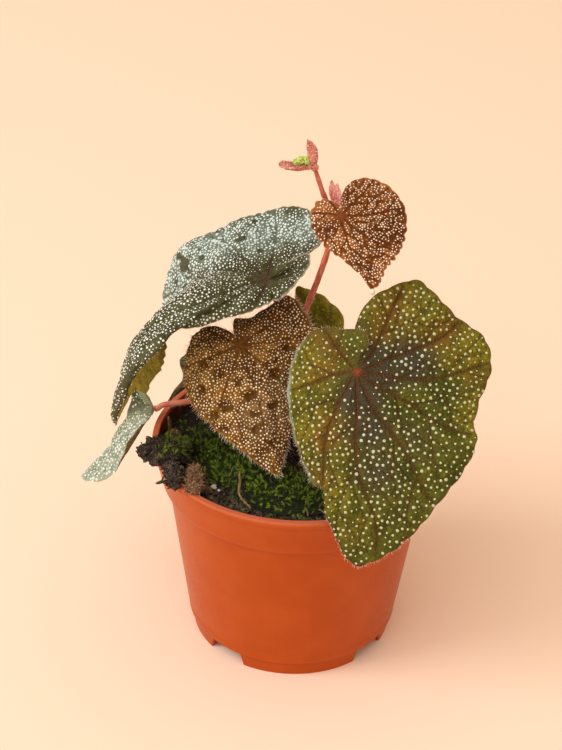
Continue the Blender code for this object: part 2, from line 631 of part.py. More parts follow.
def blade_fan(blade):
    """Where each rib of a blade ends and the point it bends towards, from the junction, in slanting axes."""
    rows = [tuple(p) + (0.0, 0.5) if len(p) == 3 else tuple(p) for p in blade.outline]
    spaced, at = smooth_through(rows, blade.rays)
    ends, arch, reach = spaced[:, :3].copy(), spaced[:, 3], spaced[:, 4]
    facing = blade.facing
    first = np.cross([0, 1, 0], facing)
    first /= np.linalg.norm(first)
    second = np.cross(facing, first)
    angle = np.unwrap(np.arctan2(ends @ second, ends @ first))
    sense = np.sign(angle[-1] - angle[0])
    angle = np.maximum.accumulate(sense * angle)
    even = angle[0] + (angle[-1] - angle[0]) * at / at[-1]
    angle = (1 - EVEN_SHARE) * angle + EVEN_SHARE * even
    centre = (angle[0] + angle[-1]) / 2
    angle = sense * (centre + (angle - centre) * min(1, WIDEST_FAN / (angle[-1] - angle[0])))
    start = np.cos(angle)[:, None] * first + np.sin(angle)[:, None] * second
    length = np.linalg.norm(ends, axis=1)
    bends = start * (reach * length)[:, None] + facing * arch[:, None]
    share = at / at[-1]
    fade = np.clip(np.minimum(share, 1 - share) * 14, 0, 1)
    depth, pitch = blade.scallop
    wandering = at + 0.25 * pitch * np.sin(at / (2.3 * pitch))
    out = depth * (np.abs(np.sin(math.pi * wandering / pitch)) - 0.6) * fade
    ends += ends / length[:, None] * out[:, None]
    height, pitch = blade.ripple
    lift = height * np.sin(2 * math.pi * at / pitch + 1.3 * np.sin(at / 31)) * fade
    return ends, bends, lift


def blade_mesh(blade, thickness=BLADE_THICKNESS):
    """A blade of even thickness, as a fan of bent ribs, with the same triangles on both faces."""
    ends, bends, lift = blade_fan(blade)
    top, columns = [np.zeros(3)], []
    for place, stride in zip(ROW_PLACES, ROW_STRIDES):
        picked = range(0, blade.rays, stride)
        columns.append({k: len(top) + n for n, k in enumerate(picked)})
        for k in picked:
            along = 2 * place * (1 - place) * bends[k] + place**2 * ends[k]
            top.append(along + blade.facing * lift[k] * place**4)
    faces = []
    inner = list(columns[0])
    faces += [(0, columns[0][a], columns[0][b]) for a, b in zip(inner, inner[1:])]
    for low, high in zip(columns, columns[1:]):
        coarse, fine = list(low), list(high)
        for a, b in zip(coarse, coarse[1:]):
            outer = [k for k in fine if a <= k <= b]
            half = len(outer) // 2
            faces += [(low[a], high[p], high[q]) for p, q in zip(outer[: half + 1], outer[1 : half + 1])]
            faces.append((low[a], high[outer[half]], low[b]))
            faces += [(low[b], high[p], high[q]) for p, q in zip(outer[half:], outer[half + 1 :])]
    top = np.array(top) @ SLANTING
    normals = np.zeros_like(top)
    for a, b, c in faces:
        face_normal = np.cross(top[b] - top[a], top[c] - top[a])
        for corner in (a, b, c):
            normals[corner] += face_normal
    normals /= np.linalg.norm(normals, axis=1)[:, None]
    points = np.vstack([top + normals * thickness / 2, top - normals * thickness / 2])
    below = len(top)
    last = columns[-1]
    border = [0] + [c[0] for c in columns] + list(last.values())[1:]
    border += [c[blade.rays - 1] for c in reversed(columns[:-1])]
    solid_faces = list(faces) + [(c + below, b + below, a + below) for a, b, c in faces]
    for a, b in zip(border, border[1:] + border[:1]):
        solid_faces += [(b, a, a + below), (b, a + below, b + below)]
    return mesh_from("blade_" + blade.name, points, solid_faces)


def stalk_route(blade):
    """The stalk's points, from inside the cane to just short of the blade's back, with radii."""
    back = -blade.side * (blade.facing @ SLANTING)
    ends = [tuple(blade.junction + back * reach) for reach in (STALK_CLEAR + STALK_STRAIGHT, STALK_CLEAR)]
    spaced, at = smooth_through(blade.stalk + ends, STALK_STEPS)
    share = at / at[-1]
    radii = STALK_RADIUS + (STALK_END_RADIUS - STALK_RADIUS) * share + STALK_FOOT_FLARE * np.exp(-12 * share)
    return [(*p, r) for p, r in zip(spaced, radii)]


def make_leaf(blade, cane_clear):
    """A leaf's blade and its stalk, which is cut to fit against the cane."""
    obj = add_object("blade_" + blade.name, blade_mesh(blade), blade.junction, blade.colour)
    smooth_shade(obj, 60)
    name = "stalk_" + blade.name
    stalk = add_object(name, tube_mesh(name, stalk_route(blade)), colour=STEM_RED)
    boolean(stalk, cane_clear)
    smooth_shade(stalk)


def make_tube(name, route, colour):
    """The cane, the stump or the stick: a plain round tube."""
    smooth_shade(add_object(name, tube_mesh(name, route), colour=colour))


def folded_lobe(name, base, facing, ends, arch, thickness=BLADE_THICKNESS):
    """A small folded lobe: a blade with few ribs, all of which arch towards the facing side."""
    outline = [(*end, arch * math.hypot(*end), LOBE_REACH) for end in ends]
    lobe = Blade(
        name, None, base, facing, outline, rays=LOBE_RAYS, scallop=LOBE_SCALLOP, ripple=(0, 1), stalk=[],
    )
    made = add_object(name, blade_mesh(lobe, thickness), lobe.junction)
    made.parent = PLANT
    return made


def young_lobes(suffix="", grow=0.0):
    """The young leaf's hood, lower lobe and the knob that joins them, all larger by the growth."""
    thickness = BLADE_THICKNESS + 2 * grow
    hood = folded_lobe("young_leaf" + suffix, YOUNG_BASE, HOOD_FACING, HOOD_ENDS, HOOD_ARCH, thickness)
    lip = folded_lobe("young_leaf_lip" + suffix, YOUNG_BASE, LIP_FACING, LIP_ENDS, LIP_ARCH, thickness)
    mesh = bpy.data.meshes.new("young_leaf_knob" + suffix)
    solid = bmesh.new()
    bmesh.ops.create_uvsphere(solid, u_segments=10, v_segments=6, radius=(KNOB_RADIUS + grow) * MM)
    solid.to_mesh(mesh)
    solid.free()
    knob = add_object("young_leaf_knob" + suffix, mesh, YOUNG_BASE)
    knob.parent = PLANT
    return hood, lip, knob


def make_young_leaf(cane_clear):
    """The unfolding leaf at the tip: a red hood and lower lobe around a crumpled green heart.

    The EXACT solver leaves nothing of these crossing lobes, so their Booleans use the other solver.
    """
    hood, lip, knob = young_lobes()
    for other in (lip, knob):
        boolean(hood, helper(other), "UNION").solver = "MANIFOLD"
    boolean(hood, cane_clear).solver = "MANIFOLD"
    hood.data.materials.append(material("young_leaf", CORAL))
    clearances = [helper(lobe) for lobe in young_lobes("_clearance", TOUCH_GAP)]
    make_clump("young_leaf_heart", HEART_LUMPS, LIME, seed=4, roughness=0.35, neighbours=clearances)


def make_stipule(cane_clear):
    """The pair of thin scales left where the top leaf's stalk leaves the cane."""
    stipule = folded_lobe("stipule", STIPULE_BASE, STIPULE_FACING, STIPULE_ENDS, STIPULE_ARCH)
    stipule.data.materials.append(material("stipule", BLUSH))
    boolean(stipule, cane_clear)


def clearance(obj):
    """A guide in the plant's frame, which cuts a fit's gap into what lies against it."""
    obj.parent = PLANT
    return helper(obj)


clear_scene()
PLANT = bpy.data.objects.new("pot_axis", None)
PLANT.location = Vector((*POT_AXIS, 0)) * MM
bpy.context.scene.collection.objects.link(PLANT)
bpy.context.view_layer.update()
CANE_ROUTE, _ = smooth_through(CANE, CANE_STEPS)

soil_clear = clearance(add_object("soil clearance", soil_mesh("soil clearance", lift=TOUCH_GAP)))
lip_clear = clearance(turned("lip clearance", LIP_CLEAR_PROFILE, POT_SIDES))
cane_clear = clearance(add_object("cane clearance", tube_mesh("cane clearance", CANE_ROUTE, grow=TOUCH_GAP)))
ground = (soil_clear, lip_clear)

make_pot()
make_soil()
make_moss(soil_clear)
make_clump("bark_clump_rim", RIM_CLUMP, BARK_BLACK, seed=3, roughness=0.45, neighbours=ground)
make_clump("bark_clump_front", FRONT_CLUMP, BARK_BLACK, seed=8, roughness=0.45, neighbours=ground)
make_clump("fibre_tuft", TUFT, FIBRE_TAN, seed=5, roughness=0.5, neighbours=ground)
make_clump("bark_chip", CHIP, CHIP_BROWN, seed=2, roughness=0.5, neighbours=[soil_clear])
make_tube("old_stump", STUMP, STUMP_RED)
make_tube("dry_stick", STICK, STICK_TAN)
make_tube("cane", CANE_ROUTE, STEM_RED)
for blade in BLADES:
    make_leaf(blade, cane_clear)
make_young_leaf(cane_clear)
make_stipule(cane_clear)
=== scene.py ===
# %% [markdown]
# A spotted-leaf begonia in a 12 cm nursery pot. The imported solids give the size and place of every
# piece. This script keeps their forms and makes what a step closer shows: quilted leaf blades with
# veins, pale raised spots and hairy edges, live moss, crumbs of soil, bark and moulded plastic.
# Lengths are written in millimetres from the pot's own axis, and become metres when a mesh is made.

# %% Load the solids
import math
import random
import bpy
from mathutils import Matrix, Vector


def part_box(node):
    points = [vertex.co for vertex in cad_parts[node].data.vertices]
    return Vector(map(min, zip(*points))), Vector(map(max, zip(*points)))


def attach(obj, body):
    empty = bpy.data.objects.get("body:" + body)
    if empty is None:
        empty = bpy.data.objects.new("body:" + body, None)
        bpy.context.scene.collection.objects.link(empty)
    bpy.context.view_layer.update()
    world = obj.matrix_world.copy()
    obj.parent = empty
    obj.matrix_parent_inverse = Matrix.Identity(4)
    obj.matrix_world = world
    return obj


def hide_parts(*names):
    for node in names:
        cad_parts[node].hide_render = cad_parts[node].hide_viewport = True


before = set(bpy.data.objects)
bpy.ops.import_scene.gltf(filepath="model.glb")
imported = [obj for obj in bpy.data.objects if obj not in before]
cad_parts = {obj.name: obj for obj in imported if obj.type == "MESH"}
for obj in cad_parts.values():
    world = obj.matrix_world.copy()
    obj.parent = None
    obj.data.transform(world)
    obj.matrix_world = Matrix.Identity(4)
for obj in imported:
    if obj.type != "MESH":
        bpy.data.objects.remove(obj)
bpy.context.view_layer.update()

from types import SimpleNamespace

import bmesh
import bpy
import numpy as np
from mathutils import Matrix, Vector, kdtree, noise

MM = 0.001
POT_LOW, POT_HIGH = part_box("pot")
POT_AXIS = np.array([(POT_LOW.x + POT_HIGH.x) / 2, (POT_LOW.y + POT_HIGH.y) / 2, 0]) / MM
print("nodes:", len(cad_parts), "pot axis at", POT_AXIS.round(2), "mm")

# %% [markdown]
# The plant is seen from the front and 32 degrees above through a long lens, which keeps the pot's
# sides nearly parallel. The three slanting directions of that view, across, up and nearer, also serve
# to write down leaf outlines, because a leaf's edge is far easier to read in them than in X, Y and Z.

# %% Camera
LOOK_DOWN = math.radians(31.9)
LEAN = math.radians(1.8)
UPRIGHT = np.array([0, math.sin(LOOK_DOWN), math.cos(LOOK_DOWN)])
RIGHTWARD = np.array([1.0, 0, 0])
ACROSS = math.cos(LEAN) * RIGHTWARD + math.sin(LEAN) * UPRIGHT
UP = math.cos(LEAN) * UPRIGHT - math.sin(LEAN) * RIGHTWARD
NEAR = np.array([0, -math.cos(LOOK_DOWN), math.sin(LOOK_DOWN)])
SLANTING = np.stack([ACROSS, UP, NEAR])
CAMERA_PLACE = np.array([-7.66, -607.39, 499.11])


def in_scene(name, data):
    """A new object in the scene, with this mesh, light or lens."""
    obj = bpy.data.objects.new(name, data)
    bpy.context.scene.collection.objects.link(obj)
    return obj


lens = bpy.data.cameras.new("camera")
lens.lens = 85
lens.sensor_width = 36
camera = in_scene("camera", lens)
turn = Matrix([SLANTING[:, row] for row in range(3)]).to_4x4()
camera.matrix_world = Matrix.Translation(Vector((CAMERA_PLACE + POT_AXIS) * MM)) @ turn
bpy.context.scene.camera = camera
print("camera at", [round(value, 3) for value in camera.location], "m")

# %% [markdown]
# The stage is a pale peach floor. One broad light stands high on the left, so the shadow falls softly
# to the right, and the pale world fills the rest. The Standard view transform keeps the colours as
# they are mixed, where the default one would grey the greens.

# %% Floor and light
FLOOR_COLOUR = (0.96, 0.71, 0.55)
FLOOR_REACH = 30.0
WORLD_COLOUR = (1.0, 0.82, 0.64)
WORLD_STRENGTH = 0.80
KEY_COLOUR = (0.95, 0.98, 1.0)
PLANT_MIDDLE = (0, 0, 100)
LIGHTS = [
    ("key light", (-2200, -700, 1900), 1300, 38),
    ("front light", (-800, -1500, 2100), 2100, 28),
]

floor_mesh = bpy.data.meshes.new("floor")
corners = [(x * FLOOR_REACH, y * FLOOR_REACH, 0) for x, y in ((-1, -1), (1, -1), (1, 1), (-1, 1))]
floor_mesh.from_pydata(corners, [], [(0, 1, 2, 3)])
floor_skin = bpy.data.materials.new("floor")
floor_skin.use_nodes = True
floor_shader = floor_skin.node_tree.nodes["Principled BSDF"]
floor_shader.inputs["Base Color"].default_value = (*FLOOR_COLOUR, 1)
floor_shader.inputs["Roughness"].default_value = 0.85
floor_mesh.materials.append(floor_skin)
in_scene("floor", floor_mesh)

for name, place, size, power in LIGHTS:
    data = bpy.data.lights.new(name, "AREA")
    data.size = size * MM
    data.energy = power
    data.color = KEY_COLOUR
    light = in_scene(name, data)
    light.location = Vector(np.array(place) + POT_AXIS) * MM
    aim = Vector((POT_AXIS + PLANT_MIDDLE) * MM) - light.location
    light.rotation_euler = aim.to_track_quat("-Z", "Y").to_euler()
world = bpy.data.worlds.new("world")
world.use_nodes = True
world.node_tree.nodes["Background"].inputs["Color"].default_value = (*WORLD_COLOUR, 1)
world.node_tree.nodes["Background"].inputs["Strength"].default_value = WORLD_STRENGTH
bpy.context.scene.world = world
bpy.context.scene.view_settings.view_transform = "Standard"
print("stage ready, lights:", len(LIGHTS))

# %% [markdown]
# Every mesh here is made from arrays of points in millimetres. These few helpers turn them into
# objects, store values that materials read later, and hand the finished piece to the frame.

# %% Mesh helpers


def make_object(name, points, faces, material=None):
    """An object at the origin, with its place in its mesh."""
    mesh = bpy.data.meshes.new(name)
    metres = (np.asarray(points, float) + POT_AXIS) * MM
    mesh.from_pydata(metres.tolist(), [], [tuple(face) for face in faces])
    if material:
        mesh.materials.append(material)
    return in_scene(name, mesh)


def outward(obj, merge=0.0):
    """Turns the faces of closed shells outwards, after merging points nearer than this many millimetres."""
    solid = bmesh.new()
    solid.from_mesh(obj.data)
    if merge:
        bmesh.ops.remove_doubles(solid, verts=solid.verts, dist=merge * MM)
    bmesh.ops.recalc_face_normals(solid, faces=solid.faces)
    solid.to_mesh(obj.data)
    solid.free()
    return obj


def store(obj, name, values):
    """One value for each point, which a material reads by this name."""
    values = np.asarray(values, np.float32)
    kind, key = ("FLOAT_VECTOR", "vector") if values.ndim == 2 else ("FLOAT", "value")
    obj.data.attributes.new(name, kind, "POINT").data.foreach_set(key, values.ravel())


def store_uv(obj, name, flat):
    """A UV map from two numbers for each point."""
    layer = obj.data.uv_layers.new(name=name)
    corner = np.empty(len(obj.data.loops), np.int32)
    obj.data.loops.foreach_get("vertex_index", corner)
    layer.data.foreach_set("uv", np.asarray(flat, np.float32)[corner].ravel())


def smooth(obj, sharp_above=60):
    obj.data.shade_smooth()
    obj.data.set_sharp_from_angle(angle=math.radians(sharp_above))
    return obj


def keep(obj, slot, *replaced):
    """Hands a finished piece to the frame: it rides on the one body and stands for these nodes."""
    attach(obj, "root")
    if replaced:
        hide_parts(*replaced)
    print(obj.name, len(obj.data.polygons), "faces")


def remove(*objects):
    for obj in objects:
        bpy.data.objects.remove(obj, do_unlink=True)


def apply_modifiers(obj):
    """Makes the mesh that the modifiers show the object's own, and removes them."""
    bpy.context.view_layer.update()
    graph = bpy.context.evaluated_depsgraph_get()
    finished = bpy.data.meshes.new_from_object(obj.evaluated_get(graph))
    obj.modifiers.clear()
    obj.data = finished


def join(name, pieces):
    """One object made of several, which are removed."""
    solid = bmesh.new()
    for piece in pieces:
        solid.from_mesh(piece.data)
    mesh = bpy.data.meshes.new(name)
    solid.to_mesh(mesh)
    solid.free()
    mesh.materials.append(pieces[0].data.materials[0])
    remove(*pieces)
    return in_scene(name, mesh)


def read_vectors(obj, key):
    found = np.empty(len(obj.data.vertices) * 3, np.float32)
    obj.data.vertices.foreach_get(key, found)
    return found.reshape(-1, 3).astype(float)


def points_of(obj):
    """The object's points in millimetres from the pot's axis."""
    return read_vectors(obj, "co") / MM - POT_AXIS


def move_points(obj, points):
    metres = (points + POT_AXIS) * MM
    obj.data.vertices.foreach_set("co", metres.astype(np.float32).ravel())
    obj.data.update()


def push_out(obj, distances):
    """Moves each point along its normal."""
    move_points(obj, points_of(obj) + read_vectors(obj, "normal") * distances[:, None])


def unit(vectors):
    """The vectors, each one long."""
    return vectors / np.linalg.norm(vectors, axis=-1, keepdims=True)


def travelled(points):
    """How far along a line each of its points lies."""
    return np.concatenate([[0], np.cumsum(np.linalg.norm(np.diff(points, axis=0), axis=1))])


def smooth_through(points, count):
    """Points spaced evenly along a centripetal Catmull-Rom curve through the given ones."""
    given = np.asarray(points, float)
    p = np.vstack([2 * given[0] - given[1], given, 2 * given[-1] - given[-2]])
    steps = np.linalg.norm(np.diff(p[:, :3], axis=0), axis=1)
    t = np.concatenate([[0], np.cumsum(np.sqrt(steps))])
    fine = []
    for i in range(1, len(p) - 2):
        u = np.linspace(t[i], t[i + 1], 24, endpoint=False)[:, None]

        def between(low, high, first, last):
            return ((t[high] - u) * first + (u - t[low]) * last) / (t[high] - t[low])

        a = [between(k, k + 1, p[k], p[k + 1]) for k in (i - 1, i, i + 1)]
        b = [between(i - 1, i + 1, a[0], a[1]), between(i, i + 2, a[1], a[2])]
        fine.append(between(i, i + 1, b[0], b[1]))
    fine = np.vstack([*fine, given[-1:]])
    along = travelled(fine[:, :3])
    at = np.linspace(0, along[-1], count)
    return np.stack([np.interp(at, along, fine[:, k]) for k in range(fine.shape[1])], 1), at


def noise_at(points, size, seed=0):
    """Smooth noise from -1 to 1 at each point, with features of this size in millimetres."""
    shift = Vector((seed * 7.3, seed * 3.1, seed * 5.7))
    found = np.empty(len(points))
    for index, point in enumerate(np.asarray(points, float) / size):
        padded = point if len(point) == 3 else (*point, 0.0)
        found[index] = noise.noise(Vector(padded) + shift)
    return found


def held(values):
    """The values, held between 0 and 1."""
    return np.clip(values, 0, 1)


def bell(away, width):
    """1 at no distance, fading to nothing beyond this width."""
    return np.exp(-((away / width) ** 2))


def circles(rings, sides):
    """Points of level circles about the middle, one circle for each (radius, height)."""
    angles = 2 * np.pi * np.arange(sides) / sides
    cos, sin = np.cos(angles), np.sin(angles)
    return np.vstack([np.column_stack([r * cos, r * sin, np.full(sides, float(z))]) for r, z in rings])


def ring_faces(rings, sides, closed_by=None, foot=None):
    """Faces between rings of points, with a fan to a last and to a first point where they are given."""
    faces = []
    for ring in range(rings - 1):
        for k in range(sides):
            a, b = ring * sides + k, ring * sides + (k + 1) % sides
            faces.append((a, b, b + sides, a + sides))
    if closed_by is not None:
        last = (rings - 1) * sides
        faces += [(last + k, last + (k + 1) % sides, closed_by) for k in range(sides)]
    if foot is not None:
        faces += [((k + 1) % sides, k, foot) for k in range(sides)]
    return faces


print("mesh helpers ready")

# %% [markdown]
# Materials are node trees. The helper below adds one node, sets what it is told and links what it is
# given, so that a tree reads like a list of steps. Everything that varies over a surface goes through
# nodes, and everything that is the same all over is set straight on the shader.

# %% Material helpers


def node(tree, kind, inputs=None, **settings):
    """A node of this kind, with its settings, and each input set to a value or linked to a socket."""
    made = tree.nodes.new(kind)
    for name, value in settings.items():
        setattr(made, name, value)
    for key, value in (inputs or {}).items():
        if isinstance(value, bpy.types.NodeSocket):
            tree.links.new(value, made.inputs[key])
        else:
            made.inputs[key].default_value = value
    return made


def calculate(tree, operation, first, second=0.0):
    return node(tree, "ShaderNodeMath", {0: first, 1: second}, operation=operation).outputs[0]


def times(first, second):
    """The product of a socket and a number or another socket."""
    return calculate(first.id_data, "MULTIPLY", first, second)


def mix(tree, share, first, second):
    """Two colours mixed by a share."""
    inputs = {0: share}
    for key, value in ((6, first), (7, second)):
        inputs[key] = value if isinstance(value, bpy.types.NodeSocket) else (*value, 1)
    return node(tree, "ShaderNodeMix", inputs, data_type="RGBA").outputs[2]


def between(tree, value, low, high, out_low=0.0, out_high=1.0):
    """A value eased from one range to another, and held at both ends."""
    inputs = {"Value": value, "From Min": low, "From Max": high, "To Min": out_low, "To Max": out_high}
    return node(tree, "ShaderNodeMapRange", inputs, interpolation_type="SMOOTHSTEP").outputs["Result"]


def attribute(tree, name, kind="Fac"):
    return node(tree, "ShaderNodeAttribute", attribute_name=name).outputs[kind]


def object_place(tree):
    return node(tree, "ShaderNodeTexCoord").outputs["Object"]


def noise_value(tree, place, size, detail=3.0, roughness=0.5):
    """Noise from 0 to 1 with features of this size in millimetres."""
    inputs = {"Vector": place, "Scale": 1 / (size * MM), "Detail": detail, "Roughness": roughness}
    return node(tree, "ShaderNodeTexNoise", inputs).outputs["Fac"]


def new_material(name, roughness=0.5, **constants):
    """A material, its tree and its shader. A constant's name is its socket's, with _ for a space."""
    made = bpy.data.materials.new(name)
    made.use_nodes = True
    shader = made.node_tree.nodes["Principled BSDF"]
    shader.inputs["Roughness"].default_value = roughness
    for key, value in constants.items():
        shader.inputs[key.replace("_", " ")].default_value = value
    return made, made.node_tree, shader


def finish_material(tree, shader, colour, height=None, distance=0.0, strength=1.0):
    """Links a colour and, where a height is given, a relief of this depth in millimetres."""
    tree.links.new(colour, shader.inputs["Base Color"])
    if height is not None:
        inputs = {"Height": height, "Distance": distance * MM, "Strength": strength}
        tree.links.new(node(tree, "ShaderNodeBump", inputs).outputs["Normal"], shader.inputs["Normal"])


def new_group(name, inputs):
    """A shader node group and its inputs: numbers with their defaults, or a vector where that is None."""
    tree = bpy.data.node_groups.new(name, "ShaderNodeTree")
    for key, value in inputs.items():
        kind = "NodeSocketVector" if value is None else "NodeSocketFloat"
        made = tree.interface.new_socket(key, in_out="INPUT", socket_type=kind)
        if value is not None:
            made.default_value = value
    return tree, node(tree, "NodeGroupInput").outputs


def finish_group(tree, outputs):
    """Gives a node group its named outputs, each linked to its socket."""
    for key in outputs:
        tree.interface.new_socket(key, in_out="OUTPUT", socket_type="NodeSocketFloat")
    node(tree, "NodeGroupOutput", outputs)
    return tree


def use_group(tree, group, **values):
    """A group's outputs, with its inputs named as its sockets are, with _ for a space."""
    placed = node(tree, "ShaderNodeGroup", node_tree=group)
    for key, value in values.items():
        socket = placed.inputs[key.replace("_", " ")]
        if isinstance(value, bpy.types.NodeSocket):
            tree.links.new(value, socket)
        else:
            socket.default_value = value
    return placed.outputs


def grain_group():
    """Noise from 0 to 1 at two scales, read at one place."""
    inputs = {"Place": None, "Coarse": 100.0, "Fine": 400.0, "Detail": 3.0, "Roughness": 0.5}
    tree, given = new_group("grain", inputs)
    made = {}
    for key in ("Coarse", "Fine"):
        sockets = {"Vector": given["Place"], "Scale": given[key], "Detail": given["Detail"]}
        sockets["Roughness"] = given["Roughness"]
        made[key] = node(tree, "ShaderNodeTexNoise", sockets).outputs["Fac"]
    return finish_group(tree, made)


GRAIN = grain_group()


def grains(tree, coarse, fine, detail=3.0, roughness=0.5, along=None):
    """Coarse and fine noise with features of these sizes, in millimetres or in the units of an attribute."""
    unit_size = 1.0 if along else MM
    place = attribute(tree, along, "Vector") if along else object_place(tree)
    values = {"Place": place, "Coarse": 1 / (coarse * unit_size), "Fine": 1 / (fine * unit_size)}
    made = use_group(tree, GRAIN, Detail=detail, Roughness=roughness, **values)
    return made["Coarse"], made["Fine"]


print("material helpers ready")

# %% [markdown]
# The pot is injection-moulded plastic, thin-walled, with a straight collar under the lip and a bead
# near the foot. It is turned from one section, as on a lathe, with every corner of the section rounded
# first. A soft edge catches the light as a thin line, which a sharp corner cannot do. The drain holes
# and the four gaps that leave its feet are then cut out of the turned shape.

# %% Pot
POT_HEIGHT = 91.0
LIP_RADIUS = 60.0
LIP_WIDTH = 2.6
LIP_HEIGHT = 2.4
COLLAR_FOOT_RADIUS = 56.0
COLLAR_FOOT_HEIGHT = 73.2
BODY_TOP_RADIUS = 53.5
BEAD_RADIUS = 44.6
FOOT_RADIUS = 42.6
FOOT_HEIGHT = 6.8
WALL = 1.3
FLOOR_THICKNESS = 1.3
FOOT_COUNT = 4
NOTCH_TURN = math.radians(25)
FIRST_NOTCH = math.radians(-129.5)
NOTCH_TOP_SHARE = 0.78
NOTCH_REACH = 6.0
DRAIN_RADIUS = 4.0
DRAIN_RING = 29.0
DRAIN_DEPTH = 8.0
DRAIN_SIDES = 32

# Heights of the pot's parts that follow from the sizes above
FLOOR_UNDER = FOOT_HEIGHT + 0.8
FLOOR_TOP = FLOOR_UNDER + FLOOR_THICKNESS
BODY_TOP_HEIGHT = COLLAR_FOOT_HEIGHT - 1.0
STEP_TOP_HEIGHT = BODY_TOP_HEIGHT + 1.2
LIP_UNDER = POT_HEIGHT - LIP_HEIGHT
LIP_INSIDE = LIP_RADIUS - LIP_WIDTH

# The pot's inside: heights, and the radius at each
INSIDE_HEIGHTS = (FLOOR_TOP, BODY_TOP_HEIGHT, STEP_TOP_HEIGHT, LIP_UNDER)
INSIDE_RADII = (BEAD_RADIUS - WALL, BODY_TOP_RADIUS - WALL, COLLAR_FOOT_RADIUS - WALL, LIP_INSIDE)

POT_SIDES = 168
CORNER_RADIUS = 0.9
BEAD_HEIGHT = 10.4
BEAD_DEPTH = 0.12
ON_AXIS = 0.001


def inner_radius(height):
    """The pot's inside radius at a height above its floor."""
    return float(np.interp(height, INSIDE_HEIGHTS, INSIDE_RADII))


def rounded(profile, radius, steps=5):
    """The profile with an arc of up to this radius in place of each of its corners."""
    points = np.array(profile, float)
    made = [points[0]]
    for before, corner, after in zip(points, points[1:], points[2:]):
        back, ahead = before - corner, after - corner
        long_back, long_ahead = np.linalg.norm(back), np.linalg.norm(ahead)
        cut = min(radius, 0.45 * long_back, 0.45 * long_ahead)
        start, end = corner + back / long_back * cut, corner + ahead / long_ahead * cut
        for share in np.linspace(0, 1, steps):
            made.append((1 - share) ** 2 * start + 2 * share * (1 - share) * corner + share**2 * end)
    return [*made, points[-1]]


def turned(name, profile, sides):
    """A shape turned about the pot's axis from (radius, height) points."""
    on_axis = [radius < ON_AXIS for radius, _ in profile]
    faces = [
        face for face in ring_faces(len(profile), sides)
        if not (on_axis[face[0] // sides] and on_axis[face[2] // sides])
    ]
    return outward(make_object(name, circles(profile, sides), faces), merge=0.005)


def cut_from(obj, cutters):
    """Cuts each cutter out of the object and removes the cutter."""
    for cutter in cutters:
        cut = obj.modifiers.new("Cut", "BOOLEAN")
        cut.operation = "DIFFERENCE"
        cut.solver = "EXACT"
        cut.object = cutter
    apply_modifiers(obj)
    remove(*cutters)


def notch_cutter(turn):
    """A block as wide as the gap between two feet, a little narrower at its top."""
    corners = []
    for height, share in ((-1.0, 1.0), (FOOT_HEIGHT, NOTCH_TOP_SHARE)):
        for reach, side in ((-NOTCH_REACH, -1), (NOTCH_REACH, -1), (NOTCH_REACH, 1), (-NOTCH_REACH, 1)):
            angle = turn + side * share * NOTCH_TURN / 2
            radius = FOOT_RADIUS + reach
            corners.append((radius * math.cos(angle), radius * math.sin(angle), height))
    faces = [(0, 1, 2, 3), (4, 5, 6, 7)] + ring_faces(2, 4)
    return outward(make_object("notch cutter", corners, faces))


def drain_cutter(x, y):
    """A round plug that reaches through the pot's floor."""
    ends = [(DRAIN_RADIUS, FLOOR_UNDER - DRAIN_DEPTH / 2), (DRAIN_RADIUS, FLOOR_UNDER + DRAIN_DEPTH / 2)]
    faces = ring_faces(2, DRAIN_SIDES)
    faces += [tuple(range(DRAIN_SIDES)), tuple(range(DRAIN_SIDES, 2 * DRAIN_SIDES))]
    return outward(make_object("drain cutter", circles(ends, DRAIN_SIDES) + [x, y, 0], faces))


outside = [
    (LIP_INSIDE + 0.5, POT_HEIGHT), (LIP_RADIUS, POT_HEIGHT), (LIP_RADIUS, LIP_UNDER),
    (LIP_RADIUS - 0.9, LIP_UNDER - 0.6), (COLLAR_FOOT_RADIUS + 0.2, COLLAR_FOOT_HEIGHT + 1.4),
    (COLLAR_FOOT_RADIUS - 0.3, COLLAR_FOOT_HEIGHT), (BODY_TOP_RADIUS, BODY_TOP_HEIGHT),
    (BEAD_RADIUS + 0.5, BEAD_HEIGHT + 1.2), (BEAD_RADIUS + 0.3 - BEAD_DEPTH, BEAD_HEIGHT + 0.6),
    (BEAD_RADIUS + 0.3, BEAD_HEIGHT), (BEAD_RADIUS, FOOT_HEIGHT + 0.2),
    (FOOT_RADIUS + 0.6, FOOT_HEIGHT - 0.3), (FOOT_RADIUS, 0),
]
underside = [
    (FOOT_RADIUS - WALL, 0), (FOOT_RADIUS - WALL + 0.4, FLOOR_UNDER), (0, FLOOR_UNDER), (0, FLOOR_TOP),
]
inside = [
    (inner_radius(FLOOR_TOP), FLOOR_TOP), *zip(INSIDE_RADII[1:], INSIDE_HEIGHTS[1:]),
    (LIP_INSIDE, POT_HEIGHT), (LIP_INSIDE + 0.5, POT_HEIGHT),
]
profile = rounded(outside, CORNER_RADIUS) + underside + rounded(inside, CORNER_RADIUS)
pot = turned("nursery_pot", profile, POT_SIDES)
cutters = [drain_cutter(0, 0)]
for index in range(FOOT_COUNT):
    turn = FIRST_NOTCH + index * 2 * math.pi / FOOT_COUNT
    cutters += [notch_cutter(turn), drain_cutter(DRAIN_RING * math.cos(turn), DRAIN_RING * math.sin(turn))]
cut_from(pot, cutters)
print("pot faces:", len(pot.data.polygons))

# %% [markdown]
# Moulded plastic is one colour all through, so its surface tells the story: a satin sheen, fine
# scuffs that break the highlights, and a little dried soil where watering splashed over the lip and
# gathered under the collar and the bead. A pinkish highlight is painted along the top of the lip, and
# the inner wall above the soil is painted nearly black, partly soil stain and partly painted shade.

# %% Pot plastic
PLASTIC = (0.41, 0.062, 0.002)
PLASTIC_WORN = (0.45, 0.074, 0.005)
# painted highlight: the lighter, pinker colour along the top of the lip
LIP_PAINTED_HIGHLIGHT = (0.52, 0.135, 0.07)
SOIL_STAIN = (0.12, 0.04, 0.015)
# nearly black: soil stain and painted shade on the pot's inner wall
INSIDE_SOIL_AND_SHADE = (0.035, 0.015, 0.007)


